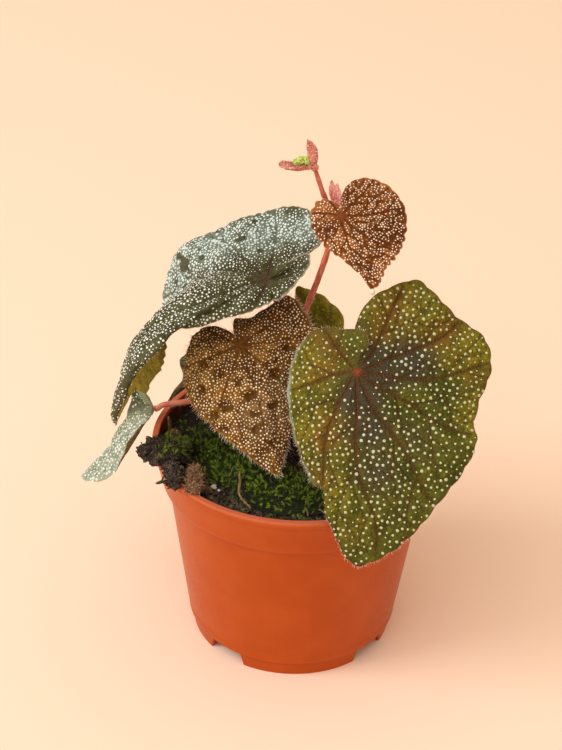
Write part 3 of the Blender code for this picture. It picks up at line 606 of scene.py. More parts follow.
def dust_group():
    """Where dust or soil clings: a patchy mask from 0 to 1. Size is in millimetres, cover from 0 to 1."""
    tree, given = new_group("dust", {"Size": 3.0, "Cover": 0.5})
    scale = calculate(tree, "DIVIDE", 1 / MM, given["Size"])
    patchy = node(tree, "ShaderNodeTexNoise", {"Vector": object_place(tree), "Scale": scale, "Detail": 5})
    low = calculate(tree, "SUBTRACT", 0.78, times(given["Cover"], 0.5))
    high = calculate(tree, "ADD", low, 0.12)
    return finish_group(tree, {"Mask": between(tree, patchy.outputs["Fac"], low, high)})


def pot_material():
    made, tree, shader = new_material("terracotta plastic", 0.42, Specular_IOR_Level=0.16)
    place = object_place(tree)
    height = calculate(tree, "DIVIDE", node(tree, "ShaderNodeSeparateXYZ", {0: place}).outputs["Z"], MM)
    cloudy, patchy = grains(tree, 22, 4, 3, 0.6)
    colour = mix(tree, between(tree, cloudy, 0.35, 0.7), PLASTIC, PLASTIC_WORN)
    at_lip = between(tree, height, POT_HEIGHT - 9, POT_HEIGHT + 1)
    at_foot = between(tree, height, 3.0, 0.0, 0, 0.5)
    splash = use_group(tree, DUST, Size=1.6, Cover=0.42)["Mask"]
    splash = times(splash, calculate(tree, "MAXIMUM", at_lip, at_foot))
    specks = use_group(tree, DUST, Size=0.7, Cover=0.12)["Mask"]
    stain = calculate(tree, "MAXIMUM", splash, specks)
    colour = mix(tree, times(stain, 0.3), colour, SOIL_STAIN)
    # Inner wall below the lip: patchy soil stain and painted shade, darkened nearly to black.
    inside_soil_and_shade = between(tree, patchy, 0.3, 0.6, 0.7, 1.0)
    inside_soil_and_shade = times(inside_soil_and_shade, between(tree, height, POT_HEIGHT - 0.8, POT_HEIGHT - 3))
    colour = mix(tree, times(inside_soil_and_shade, attribute(tree, "inner")), colour, INSIDE_SOIL_AND_SHADE)
    # Painted highlight: the top 1.6 mm of the pot turns towards the lighter lip colour.
    lip_highlight = between(tree, height, POT_HEIGHT - 1.6, POT_HEIGHT - 0.3, 0, 0.6)
    scuffs = noise_value(tree, place, 1.1, 6, 0.7)
    rough = calculate(tree, "ADD", between(tree, scuffs, 0.35, 0.75, 0.32, 0.46), times(stain, 0.25))
    tree.links.new(rough, shader.inputs["Roughness"])
    finish_material(tree, shader, mix(tree, lip_highlight, colour, LIP_PAINTED_HIGHLIGHT), scuffs, 0.02, 0.5)
    return made


DUST = dust_group()
pot_points = points_of(pot)
pot_radius = np.hypot(pot_points[:, 0], pot_points[:, 1])
within = pot_radius < np.interp(pot_points[:, 2], INSIDE_HEIGHTS, INSIDE_RADII) + 0.5
store(pot, "inner", within & (pot_points[:, 2] > FLOOR_TOP - 0.2))
pot.data.materials.append(pot_material())
keep(smooth(pot, 50), "pot", "pot")

# %% [markdown]
# Things that repeat, such as crumbs, moss shoots, spots and hairs, are made once as a small shape and
# then placed many times by a node tree. One tree scatters over faces and leans each copy about the
# face's normal. The second keeps copies a gap apart and scales each by the ground's own size there,
# as spots on a leaf are. The third stands one copy on each point, along a direction stored there,
# which suits the hairs on a leaf's edge. All keep a random shade for each copy, which a material reads.

# %% Scattering
TREE_INPUTS = {
    "Density": ("Float", 0.0), "Gap": ("Float", 0.001), "Seed": ("Int", 1), "Smallest": ("Float", 0.7),
    "Largest": ("Float", 1.3), "Lean": ("Float", 0.3), "Shape": ("Object", None),
    "Material": ("Material", None),
}


def named_value(tree, name, kind="FLOAT"):
    return node(tree, "GeometryNodeInputNamedAttribute", {"Name": name}, data_type=kind).outputs[0]


def random_value(tree, kind, least, most, seed):
    first, out = (0, 0) if kind == "FLOAT_VECTOR" else (2, 1)
    inputs = {first: least, first + 1: most, "Seed": seed}
    return node(tree, "FunctionNodeRandomValue", inputs, data_type=kind).outputs[out]


def placing_tree(name, over_faces, spaced=False):
    """A node tree that places copies of a shape, over faces or along each point's own direction."""
    tree = bpy.data.node_groups.new(name, "GeometryNodeTree")
    tree.interface.new_socket("Geometry", in_out="INPUT", socket_type="NodeSocketGeometry")
    for key, (kind, value) in TREE_INPUTS.items():
        made = tree.interface.new_socket(key, in_out="INPUT", socket_type="NodeSocket" + kind)
        if value is not None:
            made.default_value = value
    tree.interface.new_socket("Geometry", in_out="OUTPUT", socket_type="NodeSocketGeometry")
    given = node(tree, "NodeGroupInput").outputs
    if over_faces:
        cover = named_value(tree, "cover")
        inputs = {"Mesh": given["Geometry"], "Seed": given["Seed"]}
        if spaced:
            inputs.update({"Distance Min": given["Gap"], "Density Max": given["Density"]})
            inputs["Density Factor"] = cover
        else:
            inputs["Density"] = calculate(tree, "MULTIPLY", given["Density"], cover)
        method = "POISSON" if spaced else "RANDOM"
        spread = node(tree, "GeometryNodeDistributePointsOnFaces", inputs, distribute_method=method)
        points, turn = spread.outputs["Points"], spread.outputs["Rotation"]
    else:
        way = named_value(tree, "outward", "FLOAT_VECTOR")
        points = given["Geometry"]
        turn = node(tree, "FunctionNodeAlignRotationToVector", {"Vector": way}, axis="Z").outputs[0]
    back = calculate(tree, "MULTIPLY", given["Lean"], -1.0)
    least = node(tree, "ShaderNodeCombineXYZ", {0: back, 1: back, 2: -math.pi}).outputs[0]
    most = node(tree, "ShaderNodeCombineXYZ", {0: given["Lean"], 1: given["Lean"], 2: math.pi}).outputs[0]
    lean = random_value(tree, "FLOAT_VECTOR", least, most, given["Seed"])
    lean = node(tree, "FunctionNodeEulerToRotation", {0: lean}).outputs[0]
    turn = node(tree, "FunctionNodeRotateRotation", {0: turn, 1: lean}, rotation_space="LOCAL").outputs[0]
    size = random_value(tree, "FLOAT", given["Smallest"], given["Largest"], given["Seed"])
    if spaced:
        size = calculate(tree, "MULTIPLY", size, named_value(tree, "size"))
    shape = node(tree, "GeometryNodeObjectInfo", {"Object": given["Shape"], "As Instance": True})
    inputs = {"Points": points, "Instance": shape.outputs["Geometry"], "Rotation": turn, "Scale": size}
    placed = node(tree, "GeometryNodeInstanceOnPoints", inputs).outputs["Instances"]
    shade = random_value(tree, "FLOAT", 0.0, 1.0, given["Seed"])
    inputs = {"Geometry": placed, "Name": "shade", "Value": shade}
    stored = node(tree, "GeometryNodeStoreNamedAttribute", inputs, data_type="FLOAT", domain="INSTANCE")
    real = node(tree, "GeometryNodeRealizeInstances", {"Geometry": stored.outputs[0]}).outputs[0]
    inputs = {"Geometry": real, "Material": given["Material"]}
    node(tree, "NodeGroupOutput", {0: node(tree, "GeometryNodeSetMaterial", inputs).outputs[0]})
    return tree


OVER_FACES = placing_tree("place over faces", True)
SPACED_OUT = placing_tree("place spaced out", True, spaced=True)
ALONG_POINTS = placing_tree("place along points", False)


def place_copies(name, ground, shape, material, cover=None, tree=OVER_FACES, **values):
    """A new piece made of copies of a shape on the ground object, by the tree's own inputs.

    Density is for each square millimetre, times cover, which is one share for all points or one each.
    """
    piece = in_scene(name, ground.data.copy())
    if cover is not None:
        store(piece, "cover", np.broadcast_to(cover, len(piece.data.vertices)))
    values.update(Shape=shape, Material=material)
    if "Density" in values:
        values["Density"] = values["Density"] / MM**2
    if "Gap" in values:
        values["Gap"] = values["Gap"] * MM
    modifier = piece.modifiers.new("Place", "NODES")
    modifier.node_group = tree
    for item in tree.interface.items_tree:
        if item.name in values:
            modifier[item.identifier] = values[item.name]
    apply_modifiers(piece)
    return piece


def dome(name, sides):
    """A low closed dome one millimetre in radius, whose rim dips under the face it stands on."""
    points = np.vstack([circles([(1.0, -0.12), (0.72, 0.1)], sides), [[0, 0, 0.15]]])
    faces = ring_faces(2, sides, closed_by=2 * sides) + [tuple(range(sides))[::-1]]
    return make_object(name, points - POT_AXIS, faces)


def spike(name, length, width, bow):
    """A thin closed spike of ten triangles that stands on its base and bows to one side."""
    points = []
    for height, radius in ((0, width / 2), (0.5 * length, 0.4 * width)):
        lean = bow * (height / length) ** 2
        points += [(radius * math.cos(a) + lean, radius * math.sin(a), height) for a in (0, 2.1, 4.2)]
    points.append((bow, 0, length))
    faces = [(0, 2, 1), (3, 4, 6), (4, 5, 6), (5, 3, 6)]
    for a, b in ((0, 1), (1, 2), (2, 0)):
        faces += [(a, b, b + 3), (a, b + 3, a + 3)]
    return make_object(name, np.array(points) - POT_AXIS, faces)


def lump(name, half_sizes, place, seed, detail, roughness, material=None):
    """A closed ball pushed out of round by noise."""
    solid = bmesh.new()
    bmesh.ops.create_icosphere(solid, subdivisions=detail, radius=1)
    points = np.array([vert.co for vert in solid.verts])
    faces = [[vert.index for vert in face.verts] for face in solid.faces]
    solid.free()
    swell = 1 + roughness * noise_at(points, 0.8, seed) + 0.4 * roughness * noise_at(points, 0.33, seed + 5)
    return make_object(name, points * swell[:, None] * half_sizes + place, faces, material)


print("placing trees ready, with inputs", ", ".join(TREE_INPUTS))

# %% [markdown]
# The soil is peat with fine bark in it. Its surface is a disc of rings with noise at three sizes, and
# it closes round the cane, as soil does. The sides run down inside the pot's wall, so that the piece
# is a closed solid like the one it stands for.

# %% Soil
SOIL_LEVEL = 86.5
SOIL_RISE_TO_FRONT = 0.020
SOIL_RISE_TO_RIGHT = 0.028
SOIL_BUMP = 0.6
SOIL_EDGE_HEIGHT = 84.0
SOIL_WALL_GAP = 0.4
SOIL_FOOT_GAP = 0.9
SOIL_FLOOR = FLOOR_TOP + 0.3
SOIL_AROUND = 200
SOIL_TOP_RINGS = 60
SOIL_ROUGH = ((9.0, 0.5), (3.2, 0.7), (1.1, 0.35))


def soil_height(x, y):
    """The height of the soil's surface, lowest at the back and left, with low bumps."""
    slope = SOIL_LEVEL - SOIL_RISE_TO_FRONT * y + SOIL_RISE_TO_RIGHT * x
    return slope + SOIL_BUMP * np.sin(x / 8.0 + 1) * np.cos(y / 9.0)


def rough_soil_height(points):
    """The surface with its crumbly noise, for (x, y) points."""
    height = soil_height(points[:, 0], points[:, 1])
    for seed, (size, depth) in enumerate(SOIL_ROUGH):
        height = height + depth * noise_at(points, size, seed)
    return height


def disc_of_rings(spokes, middle, rings):
    """Points of a disc, ring by ring from the ends of its spokes to its middle point."""
    shares = 1 - np.arange(rings) / rings
    return np.vstack([*(middle + spokes * share for share in shares), middle])


def surface(name, top, around):
    """The open surface of a disc of rings."""
    return make_object(name, top, ring_faces(len(top) // around, around, closed_by=len(top) - 1))


def bed(name, sides, top, foot, around, material=None):
    """A closed piece: a disc of rings on rings of sides, closed by one point below."""
    points = np.vstack([sides, top, [foot]])
    last = len(points) - 1
    faces = ring_faces(last // around, around, closed_by=last - 1, foot=last)
    return smooth(outward(make_object(name, points, faces, material)))


soil_radius = inner_radius(SOIL_EDGE_HEIGHT) - SOIL_WALL_GAP
disc = disc_of_rings(circles([(soil_radius, 0)], SOIL_AROUND)[:, :2], np.zeros(2), SOIL_TOP_RINGS)
top = np.column_stack([disc, rough_soil_height(disc)])
soil_sides = [
    (inner_radius(FLOOR_TOP) - SOIL_FOOT_GAP, SOIL_FLOOR),
    (inner_radius(BODY_TOP_HEIGHT) - SOIL_WALL_GAP, BODY_TOP_HEIGHT + 0.1),
    (inner_radius(STEP_TOP_HEIGHT) - SOIL_WALL_GAP, STEP_TOP_HEIGHT + SOIL_WALL_GAP),
]
soil = bed("soil_bed", circles(soil_sides, SOIL_AROUND), top, (0, 0, SOIL_FLOOR), SOIL_AROUND)
print("soil's top radius", round(soil_radius, 1), "mm")

# %% [markdown]
# Earth, bark and wood differ in colour but not in kind: dark and light grains mixed at two sizes, and
# a rough surface. One material maker covers them all, with the colours and the grain's size given.

# %% Earthy materials


def earthy(name, dark, middle, light, grain, relief, shade_share=0.0, long_grain=None):
    """A matt material of mixed grains. long_grain names an attribute to stretch the grain along."""
    made, tree, shader = new_material(name, 0.9, Specular_IOR_Level=0.25)
    if long_grain:
        coarse, fine = grains(tree, grain, grain / 3.5, 4, 0.5, along=long_grain)
    else:
        coarse, fine = grains(tree, grain * 2.6, grain * 0.6, 4, 0.62)
    colour = mix(tree, between(tree, coarse, 0.4, 0.62), dark, middle)
    if shade_share:
        colour = mix(tree, times(attribute(tree, "shade"), shade_share), colour, light)
    colour = mix(tree, between(tree, fine, 0.52, 0.72), colour, light)
    colour = mix(tree, between(tree, fine, 0.46, 0.36), colour, dark)
    finish_material(tree, shader, colour, calculate(tree, "ADD", fine, times(coarse, 0.7)), relief)
    return made


PEAT = earthy("peat", (0.004, 0.003, 0.002), (0.013, 0.009, 0.0055), (0.05, 0.033, 0.02), 1.1, 0.8)
CRUMB = earthy(
    "peat crumbs", (0.006, 0.0045, 0.003), (0.02, 0.0135, 0.008), (0.095, 0.06, 0.036), 0.7, 0.4, 0.5,
)
PERLITE = earthy("perlite", (0.5, 0.45, 0.38), (0.68, 0.62, 0.54), (0.8, 0.76, 0.68), 0.5, 0.3)
DRY_STEM = earthy(
    "dry stem", (0.12, 0.07, 0.03), (0.24, 0.15, 0.07), (0.4, 0.28, 0.15), 0.5, 0.15, long_grain="fibre",
)
BARK = earthy("charred bark", (0.02, 0.015, 0.010), (0.095, 0.068, 0.048), (0.34, 0.24, 0.17), 0.8, 0.9)
SOIL_FLAKE = earthy(
    "flakes in the soil", (0.012, 0.009, 0.006), (0.045, 0.03, 0.02), (0.17, 0.11, 0.075), 0.7, 0.4, 0.5,
)
BARK_FLAKE = earthy(
    "bark flakes", (0.03, 0.022, 0.015), (0.10, 0.068, 0.048), (0.42, 0.31, 0.23), 0.7, 0.4, 0.8,
)
FIBRE = earthy("fibre", (0.11, 0.05, 0.022), (0.36, 0.20, 0.10), (0.66, 0.44, 0.26), 0.6, 0.3)
CHIP_WOOD = earthy("bark chip", (0.05, 0.022, 0.01), (0.15, 0.07, 0.032), (0.32, 0.17, 0.09), 0.8, 0.4)
STUMP_BARK = earthy("old stump", (0.07, 0.022, 0.014), (0.2, 0.065, 0.045), (0.42, 0.2, 0.16), 0.6, 0.3)
# nearly black green: the moss's own dark base and painted shade between the shoots
MOSS_BED_AND_SHADE = earthy(
    "moss cushion", (0.004, 0.005, 0.001), (0.016, 0.022, 0.004), (0.06, 0.07, 0.015), 0.7, 0.8,
)
soil.data.materials.append(PEAT)
keep(soil, "soil", "soil")

# %% [markdown]
# A loose crumb is a ball pushed out of round, with few faces, because thousands lie on the soil. They
# are scattered over a copy of the soil's top, thickest where no moss grows. Bits of white perlite,
# a pale twig and a few dry stems lie in the places where they caught the eye on the plant itself.

# %% Crumbs, perlite and stems
TIP_REACH = 0.8
GRAIN_STRETCH = 0.12
MOSS_MIDDLE = (-20, -20)
MOSS_THICKNESS = 5.0
MOSS_OUTLINE = [
    (-46, 5), (-47, -3), (-41, -9), (-39, -17), (-37, -23), (-31, -30), (-22, -38), (-14, -47), (0, -51),
    (13, -48), (17, -39), (8, -28), (-4, -18), (-10, -6), (-24, 2), (-36, 9),
]
COVER_UNDER_MOSS = 0.12

# White bits as (x, y, radius), and the dry stems with a radius at each point, the pale twig first
WHITE_BITS = [
    (-32.9, -31.2, 1.3), (-30.9, -33.4, 0.7), (27.5, -44.0, 1.0), (-39.0, 22.0, 1.2), (12.0, 34.0, 1.1),
    (30.0, 30.0, 0.9), (44.0, 4.0, 1.0), (-12.0, 44.0, 0.9), (24.0, 12.0, 0.8), (40.0, -26.0, 0.8),
]
DRY_STEMS = [
    [(-22.9, -28.6, 92.6, 0.5), (-22.6, -35.5, 92.8, 0.55), (-22.4, -42.3, 91.2, 0.5),
     (-18, -48.3, 89.6, 0.35)],
    [(3.5, -46.5, 88.6, 0.5), (4.2, -48.8, 89.4, 0.45), (4.6, -51.4, 89.0, 0.3)],
    [(8.3, -47.2, 88.6, 0.45), (9.4, -48.2, 89.6, 0.4), (10.8, -49.3, 89.2, 0.3)],
    [(20.0, -46.0, 88.2, 0.4), (24.0, -45.5, 89.2, 0.4), (29.0, -43.0, 89.0, 0.25)],
    [(-44.0, -8.0, 87.2, 0.4), (-40.0, -3.0, 88.6, 0.4), (-35.0, 1.0, 88.0, 0.3)],
]


def tube(name, route, sides, material, cap_steps=3):
    """A round tube along (x, y, z, radius) points with rounded ends, and a place for long grain."""
    route = np.asarray(route, float)
    path, radius = route[:, :3], route[:, 3]
    tangent = unit(np.gradient(path, axis=0))
    along = travelled(path)
    side = np.cross(tangent[0], [0.31, 0.17, 0.93])
    frames = []
    for way in tangent:
        side = unit(side - way * (side @ way))
        frames.append((side, np.cross(way, side)))
    angles = 2 * np.pi * np.arange(sides) / sides
    cos, sin = np.cos(angles)[:, None], np.sin(angles)[:, None]
    caps = np.linspace(math.pi / 2, 0, cap_steps + 1)[1:-1]
    rings = [(0, -turn) for turn in caps] + [(k, 0.0) for k in range(len(path))]
    rings += [(-1, turn) for turn in caps[::-1]]
    points, fibre = [], []
    for k, turn in rings:
        size = radius[k] * math.cos(turn)
        middle = path[k] + tangent[k] * radius[k] * TIP_REACH * math.sin(turn)
        points.append(middle + size * (cos * frames[k][0] + sin * frames[k][1]))
        fibre.append(np.column_stack([size * cos, size * sin, np.full(sides, along[k] * GRAIN_STRETCH)]))
    points += [path[k] + way * tangent[k] * radius[k] * TIP_REACH for k, way in ((0, -1), (-1, 1))]
    fibre += [[0, 0, 0], [0, 0, along[-1] * GRAIN_STRETCH]]
    last = len(rings) * sides + 1
    faces = ring_faces(len(rings), sides, closed_by=last, foot=last - 1)
    made = outward(make_object(name, np.vstack(points), faces, material))
    store(made, "fibre", np.vstack(fibre))
    return smooth(made)


def inside_moss(points):
    """How far out each point lies in the moss's outline: 0 in its middle, 1 on its edge, more outside."""
    offset = np.asarray(points)[:, :2] - np.array(MOSS_MIDDLE)
    angle = np.arctan2(offset[:, 1], offset[:, 0])
    spoke_angle = np.arctan2(MOSS_SPOKES[:, 1], MOSS_SPOKES[:, 0])
    order = np.argsort(spoke_angle)
    lengths = np.linalg.norm(MOSS_SPOKES, axis=1)[order]
    reach = np.interp(angle, spoke_angle[order], lengths, period=2 * math.pi)
    return np.linalg.norm(offset, axis=1) / reach


outline, _ = smooth_through(MOSS_OUTLINE + MOSS_OUTLINE[:1], 90)
MOSS_SPOKES = outline[:-1] - np.array(MOSS_MIDDLE)
soil_top = surface("soil top", top, SOIL_AROUND)
top_in_moss = inside_moss(top)
bare = COVER_UNDER_MOSS + (1 - COVER_UNDER_MOSS) * held((top_in_moss - 0.8) * 4)
crumb_shape = lump("crumb shape", (0.5, 0.42, 0.34), -POT_AXIS, 3, 1, 0.5)
keep(place_copies(
    "soil_crumbs", soil_top, crumb_shape, CRUMB, bare, Density=0.52, Seed=11, Smallest=0.4, Largest=1.7,
    Lean=1.4,
), "soil")
remove(crumb_shape)

perlite = []
for index, (x, y, size) in enumerate(WHITE_BITS):
    high = float(rough_soil_height(np.array([[x, y]]))[0])
    if inside_moss([(x, y)])[0] < 1:
        high += MOSS_THICKNESS * 0.8
    place = (x, y, high + size * 0.3)
    perlite.append(lump("perlite", (size, size * 0.85, size * 0.75), place, index, 3, 0.5, PERLITE))
keep(smooth(join("perlite_bits", perlite), 80), "soil")
stems = [tube("dry stem", smooth_through(route, 24)[0], 10, DRY_STEM) for route in DRY_STEMS]
keep(smooth(join("dry_stems", stems)), "dry_stick")

# %% [markdown]
# Moss is a low cushion under a crowd of tiny shoots. The cushion alone is a plain mound in a nearly
# black green, partly the moss's own dark base and partly painted shade between the shoots. A shoot is a
# bowed spike with leaflets that wind up round it, shorten towards its tip and point outward and up, each
# a closed sliver of four faces. A few shoots stray over the open soil, where small flakes of bark lie as
# well.

# %% Moss
MOSS_EDGE = 0.8
MOSS_BUMP = 1.1
MOSS_BUMP_SIZE = 6.0
MOSS_FOOT_HEIGHT = 80.0
MOSS_FOOT_SHARE = 0.97
MOSS_RINGS = 44
MOSS_COLOURS = ((0.008, 0.019, 0.001), (0.034, 0.066, 0.002), (0.26, 0.35, 0.03))
SHOOT_HEIGHT = 2.3
SHOOT_LEAFLETS = 12
STEM_HALF_WIDTH = 0.12
LEAFLET_HALF_WIDTH = 0.11


def moss_shoot(name, seed, height):
    """One shoot: a bowed spike, and leaflets placed round it on the way up."""
    draw = random.Random(seed)
    points, faces = [], []
    bow = draw.uniform(0.5, 1.1)
    turn = 0.0

    def sliver(base, tip, width, across):
        start = len(points)
        back = base + np.array([0, 0, 0.7 * width])
        points.extend([base - across * width, base + across * width, back, tip])
        for face in ((0, 2, 1), (0, 1, 3), (1, 2, 3), (2, 0, 3)):
            faces.append(tuple(start + corner for corner in face))

    sliver(np.zeros(3), np.array([bow, 0, height]), STEM_HALF_WIDTH, np.array([0, 1.0, 0]))
    for index in range(SHOOT_LEAFLETS):
        share = 0.18 + 0.8 * index / SHOOT_LEAFLETS
        stem = np.array([bow * share**2, 0, height * share])
        turn += 2.4 + draw.uniform(-0.3, 0.3)
        way = np.array([math.cos(turn), math.sin(turn), 0])
        length = (1.15 - 0.7 * share) * draw.uniform(0.8, 1.2)
        tip = stem + way * length + np.array([0, 0, length * draw.uniform(0.3, 0.8)])
        sliver(stem, tip, LEAFLET_HALF_WIDTH, np.cross(way, [0, 0, 1.0]))
    return outward(make_object(name, np.array(points) - POT_AXIS, faces))


def moss_height(points):
    """The cushion's surface for (x, y) points, which falls to the soil at its edge."""
    share = held(inside_moss(points))
    rise = MOSS_THICKNESS * (1 - share**3) + MOSS_EDGE
    lumps = MOSS_BUMP * noise_at(points, MOSS_BUMP_SIZE) * (1 - share**6)
    fine = 0.55 * noise_at(points, 2.1, 4) + 0.3 * noise_at(points, 0.9, 5)
    return soil_height(points[:, 0], points[:, 1]) + rise + lumps + fine * (1 - 0.6 * share)


def moss_material(name, dark, middle, light):
    """Green that is darkest between tufts, with paler shoots here and there."""
    made, tree, shader = new_material(name, 0.7, Specular_IOR_Level=0.15)
    patchy = noise_value(tree, object_place(tree), 5.5, 3)
    colour = mix(tree, between(tree, patchy, 0.4, 0.62), dark, middle)
    shade = between(tree, attribute(tree, "shade"), 0.45, 1.0)
    finish_material(tree, shader, mix(tree, times(shade, 0.8), colour, light))
    return made


middle = np.array(MOSS_MIDDLE, float)
around = len(MOSS_SPOKES)
disc = disc_of_rings(MOSS_SPOKES, middle, MOSS_RINGS)
moss_top = np.column_stack([disc, moss_height(disc)])
foot = np.column_stack([middle + MOSS_SPOKES * MOSS_FOOT_SHARE, np.full(around, MOSS_FOOT_HEIGHT)])
moss_bed = bed("moss_cushion", foot, moss_top, (*MOSS_MIDDLE, MOSS_FOOT_HEIGHT), around, MOSS_BED_AND_SHADE)
keep(moss_bed, "moss", "moss_mat")

MOSS_LEAF = moss_material("moss shoots", *MOSS_COLOURS)
moss_ground = surface("moss ground", moss_top, around)
crowd = np.clip(1.15 - inside_moss(moss_top) ** 4, 0.2, 1)
crowd = crowd * np.clip(0.75 + 0.9 * noise_at(moss_top, 6, 9), 0.15, 1)
shoot = moss_shoot("shoot shape", 5, SHOOT_HEIGHT)
keep(place_copies(
    "moss_shoots", moss_ground, shoot, MOSS_LEAF, crowd, Density=1.5, Seed=3, Smallest=0.5, Largest=1.15,
    Lean=0.95,
), "moss")
few = held(0.5 + 2.5 * noise_at(top, 5, 12)) * held((top_in_moss - 0.95) * 10) * held(3.2 - 2 * top_in_moss)
keep(place_copies(
    "stray_moss_shoots", soil_top, shoot, MOSS_LEAF, few, Density=0.6, Seed=4, Smallest=0.4, Largest=1.0,
    Lean=0.9,
), "moss")
front_left = held((top_in_moss - 0.9) * 10) * held((20 - top[:, 0]) / 15) * (top[:, 1] < 5)
flake = lump("flake shape", (1.7, 0.6, 0.28), -POT_AXIS, 8, 1, 0.5)
keep(place_copies(
    "bark_flakes", soil_top, flake, SOIL_FLAKE, front_left, Density=0.5, Seed=6, Smallest=0.4, Largest=1.4,
    Lean=0.6,
), "bark")
remove(moss_ground, soil_top)

# %% [markdown]
# Bark, tuft and chip start from copies of their solids. Each copy is melted into small even faces by a
# voxel remesh, and then pushed in and out by ridged noise. Flakes and splinters stand out of the bark,
# shreds and thin fibres out of the tuft, and moss creeps over the inner side of the bark on the lip.

# %% Bark, tuft and chip
MELT_SIZE = 0.38
BARK_LAYERS = ((3.4, 1.1), (1.5, 0.6), (0.7, 0.25))
SOFT_LAYERS = ((2.4, 0.8), (0.9, 0.4))
SPLINTERS = {"bark_clump_rim": 46, "bark_clump_front": 24}
SPLINTER_WIDTHS = ((0, 0.5), (0.4, 1), (0.8, 0.8), (1, 0.3))
FIBRE_COUNT = 170
FIBRE_PLACE = ((-43.5, -38.5), (-41.5, -29), (89.5, 93.5))
FIBRE_RADIUS = 0.13


def from_solid(node_name, name, voxel, material):
    """A copy of a solid melted into even faces of about this size in millimetres."""
    copy = in_scene(name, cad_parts[node_name].data.copy())
    outward(copy, merge=0.001)
    melt = copy.modifiers.new("Melt", "REMESH")
    melt.mode = "VOXEL"
    melt.voxel_size = voxel * MM
    apply_modifiers(copy)
    copy.data.materials.clear()
    copy.data.materials.append(material)
    return copy


def roughen(obj, layers):
    """Pushes points along their normals by ridged noise of several (size, depth) layers."""
    squeezed = points_of(obj) * [1, 1, 0.6]
    push = np.zeros(len(squeezed))
    for seed, (size, depth) in enumerate(layers):
        push += depth * (0.6 - 2.4 * np.abs(noise_at(squeezed, size, seed + 3)))
    push_out(obj, push)


def facing_up(obj):
    """How far up each point of the object faces, from -1 to 1."""
    return read_vectors(obj, "normal")[:, 2]


melted = []
for node_name, name, slot, material, layers in (
    ("bark_clump_rim", "bark_on_rim", "bark", BARK, BARK_LAYERS),
    ("bark_clump_front", "bark_at_front", "bark", BARK, BARK_LAYERS),
    ("fibre_tuft", "fibre_wad", "fibre", FIBRE, SOFT_LAYERS),
    ("bark_chip", "chip_of_bark", "bark_chip", CHIP_WOOD, SOFT_LAYERS),
):
    piece = from_solid(node_name, name, MELT_SIZE, material)
    roughen(piece, layers)
    keep(smooth(piece, 35), slot, node_name)
    melted.append(piece)
rim_bark, front_bark, wad, _ = melted

draw = random.Random(7)
splinters = []
for node_name, count in SPLINTERS.items():
    low, high = (np.array(corner) / MM - POT_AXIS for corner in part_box(node_name))
    for _ in range(count):
        place = np.array([draw.uniform(a + 1, b - 1) for a, b in zip(low, high)])
        place[2] = low[2] + (high[2] - low[2]) * draw.uniform(0.55, 0.9)
        way = unit(np.array([draw.gauss(0, 1), draw.gauss(0, 1), draw.gauss(0, 0.4)]))
        length, width = draw.uniform(1.8, 4.2), draw.uniform(0.35, 0.8)
        route = [(*(place + way * length * share), width * size) for share, size in SPLINTER_WIDTHS]
        splinters.append(tube("splinter", route, 5, BARK, cap_steps=2))
for clump in (rim_bark, front_bark):
    splinters.append(place_copies(
        "flakes", clump, flake, BARK_FLAKE, 0.3 + 0.7 * (facing_up(clump) > 0), Density=0.45, Seed=13,
        Smallest=0.6, Largest=1.4, Lean=1.1,
    ))
keep(smooth(join("bark_splinters", splinters), 30), "bark")

fibres = []
for _ in range(FIBRE_COUNT):
    start = np.array([draw.uniform(low, high) for low, high in FIBRE_PLACE])
    way = np.array([draw.gauss(0, 0.7), draw.gauss(0, 1), draw.gauss(0.35, 0.4)])
    way *= draw.uniform(1.6, 3.6) / np.linalg.norm(way)
    bend = np.array([draw.gauss(0, 0.7), draw.gauss(0, 0.7), draw.gauss(0, 0.5)])
    route = [(*(start + way * s + bend * s * s), FIBRE_RADIUS * (1.15 - s)) for s in np.linspace(0, 1, 5)]
    fibres.append(tube("fibre", route, 4, FIBRE, cap_steps=2))
shred = spike("shred shape", 2.0, 0.42, 0.6)
fibres.append(place_copies(
    "shreds", wad, shred, FIBRE, 0.2 + 0.8 * (facing_up(wad) > -0.2), Density=1.9, Seed=15, Smallest=0.6,
    Largest=1.7, Lean=1.5,
))
keep(smooth(join("loose_fibres", fibres)), "fibre")

bark_points = points_of(rim_bark)
creep = held(facing_up(rim_bark) * 2 - 0.3) * held((bark_points[:, 0] + 57) / 5)
creep = creep * held(noise_at(bark_points, 3, 2) * 3 + 0.7)
keep(place_copies(
    "moss_on_bark", rim_bark, shoot, MOSS_LEAF, creep, Density=2.4, Seed=8, Smallest=0.45, Largest=1.1,
    Lean=0.9,
), "moss")
remove(flake, shred, shoot)

# %% [markdown]
# The stump of an old stem is a short cylinder with a torn, dished top and a pinkish skin. The dry
# stick beside it is a thin tube with a knot.

# %% Stump and stick
STUMP = [(-51.4, 7.2, 78.0, 2.6), (-51.4, 7.0, 82.0, 2.7), (-51.0, 6.4, 86.6, 2.5)]
STUMP_FINE = 30
STUMP_TOP = 85.6
STICK = [(-53.0, 11.4, 79.0, 0.6), (-53.6, 10.9, 86.0, 0.6), (-54.0, 10.2, 92.2, 0.45)]
STICK_FINE = 40
KNOT_AT = 24

